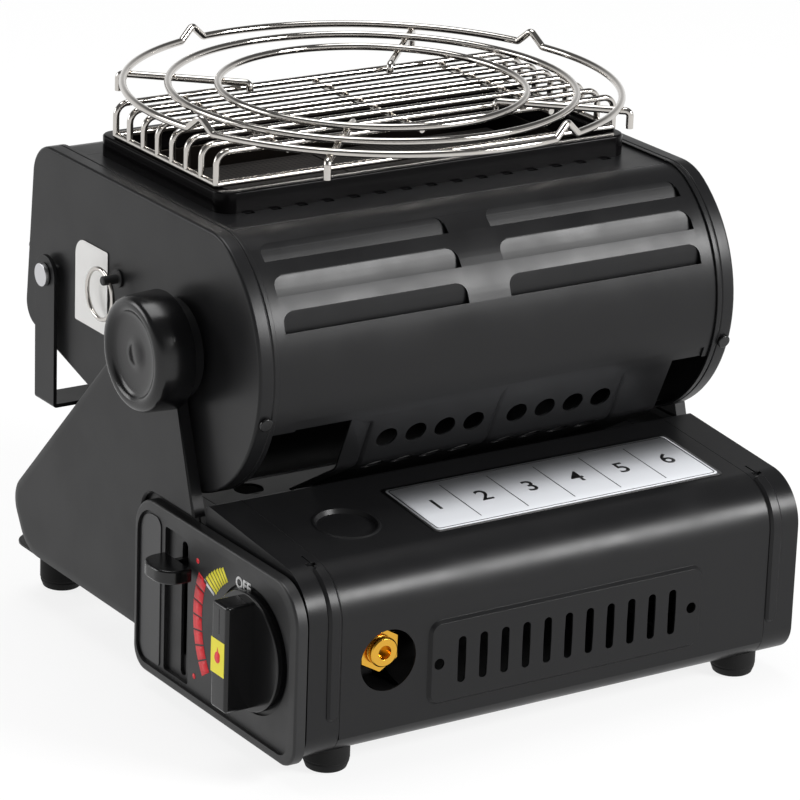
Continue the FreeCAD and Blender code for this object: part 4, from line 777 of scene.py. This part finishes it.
class GH_OT_stands(bpy.types.Operator):
    """Model the two pressed side plates and the tabs that carry the rear feet"""
    bl_idname = "gas_heater.stands"
    bl_label = "Side Stands"

    def execute(self, context):
        # The upper part stands out from the lower one; its middle field is pressed out further.
        field_line = ((*PIVOT, 18.6, -66.0, 160.0), (95.46, 42.13, 7.8, 135.28, 210.58),
                      (88.37, 38.0, 11.8, 210.58, 270.0), (1.9, 26.2, 0.0, 270.0, 270.0),
                      (-8.5, 72.5, 10.4, 180.0, 90.0), (-37.6, 82.9, 0.0, 0.0, 0.0))
        upper = ((*PIVOT, 19.5, -68.9, 134.85), (95.46, 42.13, 12.0, 135.28, 210.58),
                 (88.37, 38.0, 16.0, 210.58, 270.0), (1.1, 22.0, 0.0, 270.0, 270.0),
                 (-8.5, 72.5, 9.6, 180.0, 90.0), (-38.67, 82.1, 0.0, 0.0, 0.0))
        lower = ((-37.0, 28.0, 6.0, 270.0, 360.0), (-37.0, 68.96, 6.0, 360.0, 379.7),
                 (-38.67, 82.1, 0.0, 0.0, 0.0), (-8.5, 72.5, 9.6, 90.0, 180.0),
                 (1.1, 22.0, 0.0, 0.0, 0.0))
        outer, inner = -117.7, -116.2
        for side in ("left", "right"):
            bm = bmesh.new()
            field = walk(bm, field_line, outer)
            border = list(field.edges)
            bmesh.ops.inset_region(bm, faces=[field], thickness=0.7, use_even_offset=True)
            bmesh.ops.translate(bm, vec=(-0.8, 0, 0), verts=field.verts)
            edge = loop_of(bm, walk(bm, upper, outer))
            fill(bm, edge, border)
            under = [e for e in edge if all(v.co.y < 1.6 and v.co.z < 82.3 for v in e.verts)]
            free = [e for e in edge if e not in under]
            skirt(bm, under, (1.5, 0, 0))
            skirt(bm, free, (4.6, 0, 0))
            walk(bm, lower, inner)
            if side == "right":
                mirrored(bm)
            piece("stand_" + side + "_pressing", bm, "powder", "base", ["stand_" + side],
                  wall=1.1, soft=0.35)
        bm = bmesh.new()
        block(bm, -117.6, -88.0, 88.0, 112.0, 22.0, 23.2, 10.0,
              lambda e: abs(e.verts[0].co.z - e.verts[1].co.z) > 1.0 and e.verts[0].co.y > 111.0, 6)
        flip_x(bm)
        piece("foot_tabs", bm, "powder", "base", ["stand_left", "stand_right"],
              soft=0.25)
        return {"FINISHED"}


class GH_OT_tilt_knobs(bpy.types.Operator):
    """Model the two dished tilt knobs"""
    bl_idname = "gas_heater.tilt_knobs"
    bl_label = "Tilt Knobs"

    def execute(self, context):
        for side in ("left", "right"):
            bm = bmesh.new()
            turned(bm, ((-118.75, 3.3), (-118.75, 23.2), (-119.4, 23.45), (-131.2, 22.8),
                        (-132.7, 22.4), (-133.8, 21.5), (-134.4, 20.2), (-134.45, 19.0),
                        (-134.2, 17.8), (-133.2, 16.9), (-132.5, 16.2), (-132.0, 14.0),
                        (-131.75, 11.0), (-131.65, 8.0), (-131.65, 4.4), (-131.9, 4.0),
                        (-131.9, 0.0)), (0.0, *PIVOT), "X", 72)
            if side == "right":
                mirrored(bm)
            piece("tilt_knob_" + side + "_moulding", bm, "knob", side + "_tilt_knob",
                  ["tilt_knob_" + side], soft=0.0, angle=40.0)
        return {"FINISHED"}


class GH_OT_front_casing(bpy.types.Operator):
    """Model the louvred front of the heater head"""
    bl_idname = "gas_heater.front_casing"
    bl_label = "Louvred Casing"

    def execute(self, context):
        depth = context.scene.gh_sizes.louvre_depth / MM
        bm = bmesh.new()
        end = runs(CASING)[-1][1]
        # Between the ends, the lower edge is cut back to here for the apron.
        step = self.along(-17.5)
        edge = polygon(bm, ((-110.6, 0), (-92.0, 0), (-92.0, step), (100.0, step), (100.0, 0),
                            (110.6, 0), (110.6, end), (-110.6, end)))
        windows = [(x0, x1, self.along(top - 8.4), self.along(top))
                   for top in (57.0, 42.0, 27.6) for x0, x1 in ((-98.0, -15.0), (4.5, 96.5))]
        fill(bm, edge, *[rectangle(bm, *w, 4.6, upper=True) for w in windows])
        for x0, x1, low, high in windows:
            self.blade(bm, x0, x1, low, high, depth)
        bmesh.ops.remove_doubles(bm, verts=bm.verts, dist=0.002)
        bend(bm, CASING, 3.0)
        piece("front_casing_pressing", bm, "powder", "head", ["front_casing"],
              wall=0.8, soft=0.25)
        return {"FINISHED"}

    def along(self, heading):
        """Length along the casing from its lower edge to a heading of the drum."""
        radius, start = CASING[0][2:4]
        return radius * math.radians(heading - start)

    def blade(self, bm, x0, x1, low, high, depth):
        """Louvre pressed in towards its lower edge, where it is cut free."""
        edges = rectangle(bm, x0, x1, low, high, 4.6, upper=True)
        face = bmesh.ops.contextual_create(bm, geom=edges)["faces"][0]
        frame_faces = bmesh.ops.inset_region(bm, faces=[face], thickness=1.3,
                                             use_even_offset=True)["faces"]
        gone = [f for f in frame_faces if all(v.co.y < low + 1.4 for v in f.verts)]
        bmesh.ops.delete(bm, geom=gone, context="FACES_ONLY")
        for vert in face.verts:
            if vert.co.y < low + 1.4:
                vert.co.y = low + 0.1
            vert.co.z = -depth * (high - vert.co.y) / (high - low)


class GH_OT_air_apron(bpy.types.Operator):
    """Model the lower front sheet with its two rows of air holes"""
    bl_idname = "gas_heater.air_apron"
    bl_label = "Air Apron"

    def execute(self, context):
        bm = bmesh.new()
        mid, end = runs(APRON)[-1][:2]
        edge = polygon(bm, ((-66.0, 0), (86.0, 0), (86.0, mid), (100.0, mid), (100.0, end),
                            (-92.0, end), (-92.0, mid), (-66.0, mid)))
        rows = (mid - 13.3, mid - 31.0)
        columns = (-46.3, -32.8, -19.3, -5.8, 14.7, 28.2, 41.7, 55.2)
        fill(bm, edge, *[circle(bm, (x, u, 0.0), 4.7, segments=24) for u in rows for x in columns])
        # Three upright grooves are pressed in below the bend.
        for x in (-56.0, 4.5, 64.0):
            for side in (-1.6, 0.0, 1.6):
                cut(bm, (x + side, 0, 0), (1, 0, 0))
            for vert in bm.verts:
                if abs(vert.co.x - x) < 0.01 and vert.co.y < mid - 4.0:
                    vert.co.z = -0.8
        bend(bm, APRON)
        piece("air_apron_sheet", bm, "powder", "head", ["air_apron"],
              wall=0.8, soft=0.2)
        return {"FINISHED"}


class GH_OT_head_ends(bpy.types.Operator):
    """Model the two pressed end plates of the heater head"""
    bl_idname = "gas_heater.head_ends"
    bl_label = "Head Ends"

    def execute(self, context):
        # The field inside the rim is pressed in, and a fine groove runs round the flange.
        rim_width, groove, groove_depth = 5.4, -105.0, 0.45
        for side in ("left", "right"):
            bm = bmesh.new()
            face = walk(bm, HEAD, -112.0, 4.0)
            rim = list(face.edges)
            bmesh.ops.inset_region(bm, faces=[face], thickness=rim_width, use_even_offset=True)
            bmesh.ops.inset_region(bm, faces=[face], thickness=0.7, use_even_offset=True)
            bmesh.ops.translate(bm, vec=(0.7, 0, 0), verts=face.verts)
            skirt(bm, rim, (8.6, 0, 0))
            round_edges(bm, rim, 1.3)
            bmesh.ops.recalc_face_normals(bm, faces=bm.faces)
            for x in (groove - 0.4, groove, groove + 0.4):
                cut(bm, (x, 0, 0), (1, 0, 0))
            bm.normal_update()
            for vert in [v for v in bm.verts if abs(v.co.x - groove) < 0.01]:
                vert.co -= vert.normal * groove_depth
            if side == "right":
                mirrored(bm)
            piece("head_end_" + side + "_pressing", bm, "powder", "head", ["head_end_" + side],
                  wall=0.9, soft=0.2)
        bm = bmesh.new()
        sticker = ((43.3, 131.3, 0.8, -90.0, 0.0), (43.3, 164.2, 0.8, 0.0, 90.0),
                   (61.5, 158.0, 7.0, 90.0, 180.0), (67.7, 131.3, 0.8, 180.0, 270.0))
        push(bm, [walk(bm, sticker, -111.55)], (-0.15, 0, 0))
        piece("head_sticker", bm, "paper", "head", ["head_label"])
        return {"FINISHED"}


class GH_OT_ring_pin(bpy.types.Operator):
    """Model the slim locking pin that carries the pull ring"""
    bl_idname = "gas_heater.ring_pin"
    bl_label = "Ring Pin"

    def execute(self, context):
        bm = bmesh.new()
        turned(bm, ((-104.0, 0.0), (-104.0, 2.9), (-111.6, 2.9), (-111.6, 3.6), (-112.3, 3.6),
                    (-112.3, 1.9), (-118.6, 1.9), (-119.1, 1.4), (-119.1, 0.0)),
               (0.0, 34.0, 157.0), "X", 32)
        piece("ring_pin_turning", bm, "matte", "pin", ["ring_pin"], soft=0.2)
        return {"FINISHED"}


class GH_OT_burner_tray(bpy.types.Operator):
    """Model the enamelled tray round the burner and the slotted top sheet it stands on"""
    bl_idname = "gas_heater.burner_tray"
    bl_label = "Burner Tray"

    def execute(self, context):
        tray_top, tray_depth, sheet_top = 203.0, 8.5, 194.5
        bm = bmesh.new()
        outer = rectangle(bm, -96.0, 96.0, -17.5, 80.5, 7.0, height=tray_top)
        inner = rectangle(bm, -90.0, 90.0, -11.5, 74.5, 2.0, height=tray_top)
        fill(bm, outer, inner)
        skirt(bm, outer, (0, 0, -tray_depth))
        skirt(bm, inner, (0, 0, -tray_depth))
        round_edges(bm, outer + inner, 0.9)
        piece("burner_tray_pressing", bm, "enamel", "head", ["burner_tray"],
              wall=1.1, soft=0.15)
        bm = bmesh.new()
        edge = rectangle(bm, -110.8, 110.8, -34.4, 78.9, height=sheet_top)
        opening = rectangle(bm, -92.0, 92.0, -13.5, 76.5, height=sheet_top)
        slots = [rectangle(bm, x - 2.2, x + 2.2, -19.7, -17.1, 0.8, height=sheet_top)
                 for x in range(-84, 85, 12)]
        fill(bm, edge, opening, *slots)
        piece("top_frame_sheet", bm, "powder", "head", ["top_frame"],
              wall=0.8, soft=0.15)
        return {"FINISHED"}


class GH_OT_small_parts(bpy.types.Operator):
    """Round the sharp edges of the frame's own pieces that stay in view"""
    bl_idname = "gas_heater.small_parts"
    bl_label = "Frame Pieces"

    def execute(self, context):
        for node, width in SOFT_EDGES.items():
            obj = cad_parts[node]
            weld = obj.modifiers.new("weld", "WELD")
            weld.merge_threshold = 0.00002
            flat = obj.modifiers.new("flat_faces", "DECIMATE")
            flat.decimate_type = "DISSOLVE"
            flat.angle_limit = math.radians(1.0)
            soften(obj, width)
        return {"FINISHED"}


def area_light(name, place, target, width, height, power):
    """Softbox at a place that faces a target, with its size in metres and its power in watts."""
    lamp = bpy.data.lights.new(name, "AREA")
    lamp.shape = "RECTANGLE"
    lamp.size = width
    lamp.size_y = height
    lamp.energy = power
    obj = bpy.data.objects.new(name, lamp)
    bpy.context.scene.collection.objects.link(obj)
    obj.location = place
    aim = Vector(target) - Vector(place)
    obj.rotation_euler = aim.to_track_quat("-Z", "Y").to_euler()


def seen_rays(tree):
    """1 for rays that look at the background: straight from the camera, mirrored or let through."""
    rays = add(tree, "LightPath").outputs
    both = add(tree, "Math", {"operation": "MAXIMUM"}, _0=rays["Is Camera Ray"],
               _1=rays["Is Glossy Ray"])
    return add(tree, "Math", {"operation": "MAXIMUM"}, _0=both.outputs[0],
               _1=rays["Is Transmission Ray"]).outputs[0]


class GH_OT_stage(bpy.types.Operator):
    """Make the camera, the pale floor, the lamps and the even background"""
    bl_idname = "gas_heater.stage"
    bl_label = "Stage"

    def execute(self, context):
        scene = context.scene
        self.camera(scene)
        self.floor(scene)
        self.world(scene)
        scene.view_settings.view_transform = "Standard"
        centre = (0.0, 0.0, 0.1)
        area_light("front_softbox", (1.15, -1.55, 1.1), centre, 0.8, 0.6, 48)
        area_light("left_softbox", (-1.6, 1.3, 0.8), centre, 1.0, 0.8, 12)
        area_light("top_softbox", (0.0, 0.4, 2.0), centre, 1.4, 1.2, 24)
        return {"FINISHED"}

    def camera(self, scene):
        """Camera on the left of the front, a little above the heater."""
        azimuth, lift = math.radians(CAMERA_AZIMUTH), math.radians(CAMERA_LIFT)
        roll = math.radians(CAMERA_ROLL)
        back = Vector((math.sin(azimuth) * math.cos(lift), -math.cos(azimuth) * math.cos(lift),
                       math.sin(lift)))
        right = Vector((math.cos(azimuth), math.sin(azimuth), 0.0))
        up = back.cross(right)
        across = math.cos(roll) * right + math.sin(roll) * up
        upright = -math.sin(roll) * right + math.cos(roll) * up
        data = bpy.data.cameras.new("photo_camera")
        data.sensor_width = 36.0
        data.lens = CAMERA_LENS
        data.clip_start = 0.1
        data.clip_end = 20.0
        camera = bpy.data.objects.new("photo_camera", data)
        scene.collection.objects.link(camera)
        axes = Matrix((across, upright, back)).transposed().to_4x4()
        camera.matrix_world = Matrix.Translation(CAMERA_PLACE) @ axes
        scene.camera = camera

    def floor(self, scene):
        """Matte pale floor that is mostly even white where it is looked at and keeps a shadow."""
        bm = bmesh.new()
        bmesh.ops.create_grid(bm, x_segments=1, y_segments=1, size=4.0)
        mesh = bpy.data.meshes.new("floor")
        bm.to_mesh(mesh)
        bm.free()
        floor = bpy.data.objects.new("floor", mesh)
        scene.collection.objects.link(floor)
        floor.location.z = -0.0002
        look = bpy.data.materials.new("studio_floor")
        look.use_nodes = True
        tree = look.node_tree
        tree.nodes.remove(tree.nodes["Principled BSDF"])
        matte = add(tree, "BsdfDiffuse", {"Color": (*scene.gh_colours.floor, 1.0)})
        glow = add(tree, "Emission", {"Color": (1, 1, 1, 1), "Strength": 1.0})
        share = add(tree, "Math", {"operation": "MULTIPLY", 1: FLOOR_WHITE}, _0=seen_rays(tree))
        mix = add(tree, "MixShader", None, Fac=share.outputs[0], _1=matte.outputs[0],
                  _2=glow.outputs[0])
        tree.links.new(mix.outputs[0], tree.nodes["Material Output"].inputs["Surface"])
        mesh.materials.append(look)

    def world(self, scene):
        """Even light from all sides; looked at, it is white low down and darker overhead."""
        world = bpy.data.worlds.new("soft_world")
        world.use_nodes = True
        tree = world.node_tree
        plain = tree.nodes["Background"]
        plain.inputs["Color"].default_value = (1, 1, 1, 1)
        plain.inputs["Strength"].default_value = WORLD_LIGHT
        white = add(tree, "Background", {"Color": (1, 1, 1, 1), "Strength": 1.0})
        height = add(tree, "SeparateXYZ", None, Vector=add(tree, "TexCoord").outputs["Generated"])
        fall = add(tree, "MapRange",
                   {"From Min": 0.1, "From Max": 0.5, "To Min": 1.0, "To Max": 0.12},
                   Value=height.outputs["Z"])
        tree.links.new(fall.outputs[0], white.inputs["Strength"])
        mix = add(tree, "MixShader", None, Fac=seen_rays(tree), _1=plain.outputs[0],
                  _2=white.outputs[0])
        tree.links.new(mix.outputs[0], tree.nodes["World Output"].inputs["Surface"])
        scene.world = world


class GH_PT_panel(bpy.types.Panel):
    """Sidebar panel with the heater's sizes, colours and pieces"""
    bl_idname = "GH_PT_panel"
    bl_label = "Gas Heater"
    bl_space_type = "VIEW_3D"
    bl_region_type = "UI"
    bl_category = "Gas Heater"

    def draw(self, context):
        layout = self.layout
        for group in (context.scene.gh_sizes, context.scene.gh_colours):
            for key in group.__annotations__:
                layout.prop(group, key)
        for step in STEPS:
            layout.operator(step.bl_idname)


STEPS = [GH_OT_stage, GH_OT_finishes, GH_OT_bay_lid, GH_OT_cap_beads, GH_OT_gas_inlet, GH_OT_feet,
         GH_OT_control_panel, GH_OT_controls, GH_OT_stands, GH_OT_tilt_knobs, GH_OT_front_casing,
         GH_OT_air_apron, GH_OT_head_ends, GH_OT_ring_pin, GH_OT_burner_tray, GH_OT_small_parts]
CLASSES = [GH_Sizes, GH_Colours] + STEPS + [GH_PT_panel]


def register():
    for cls in CLASSES:
        bpy.utils.register_class(cls)
    bpy.types.Scene.gh_sizes = bpy.props.PointerProperty(type=GH_Sizes)
    bpy.types.Scene.gh_colours = bpy.props.PointerProperty(type=GH_Colours)


def unregister():
    del bpy.types.Scene.gh_colours
    del bpy.types.Scene.gh_sizes
    for cls in reversed(CLASSES):
        bpy.utils.unregister_class(cls)


def main():
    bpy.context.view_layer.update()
    register()
    for step in STEPS:
        group, name = step.bl_idname.split(".")
        getattr(getattr(bpy.ops, group), name)()


if __name__ == "__main__":
    main()
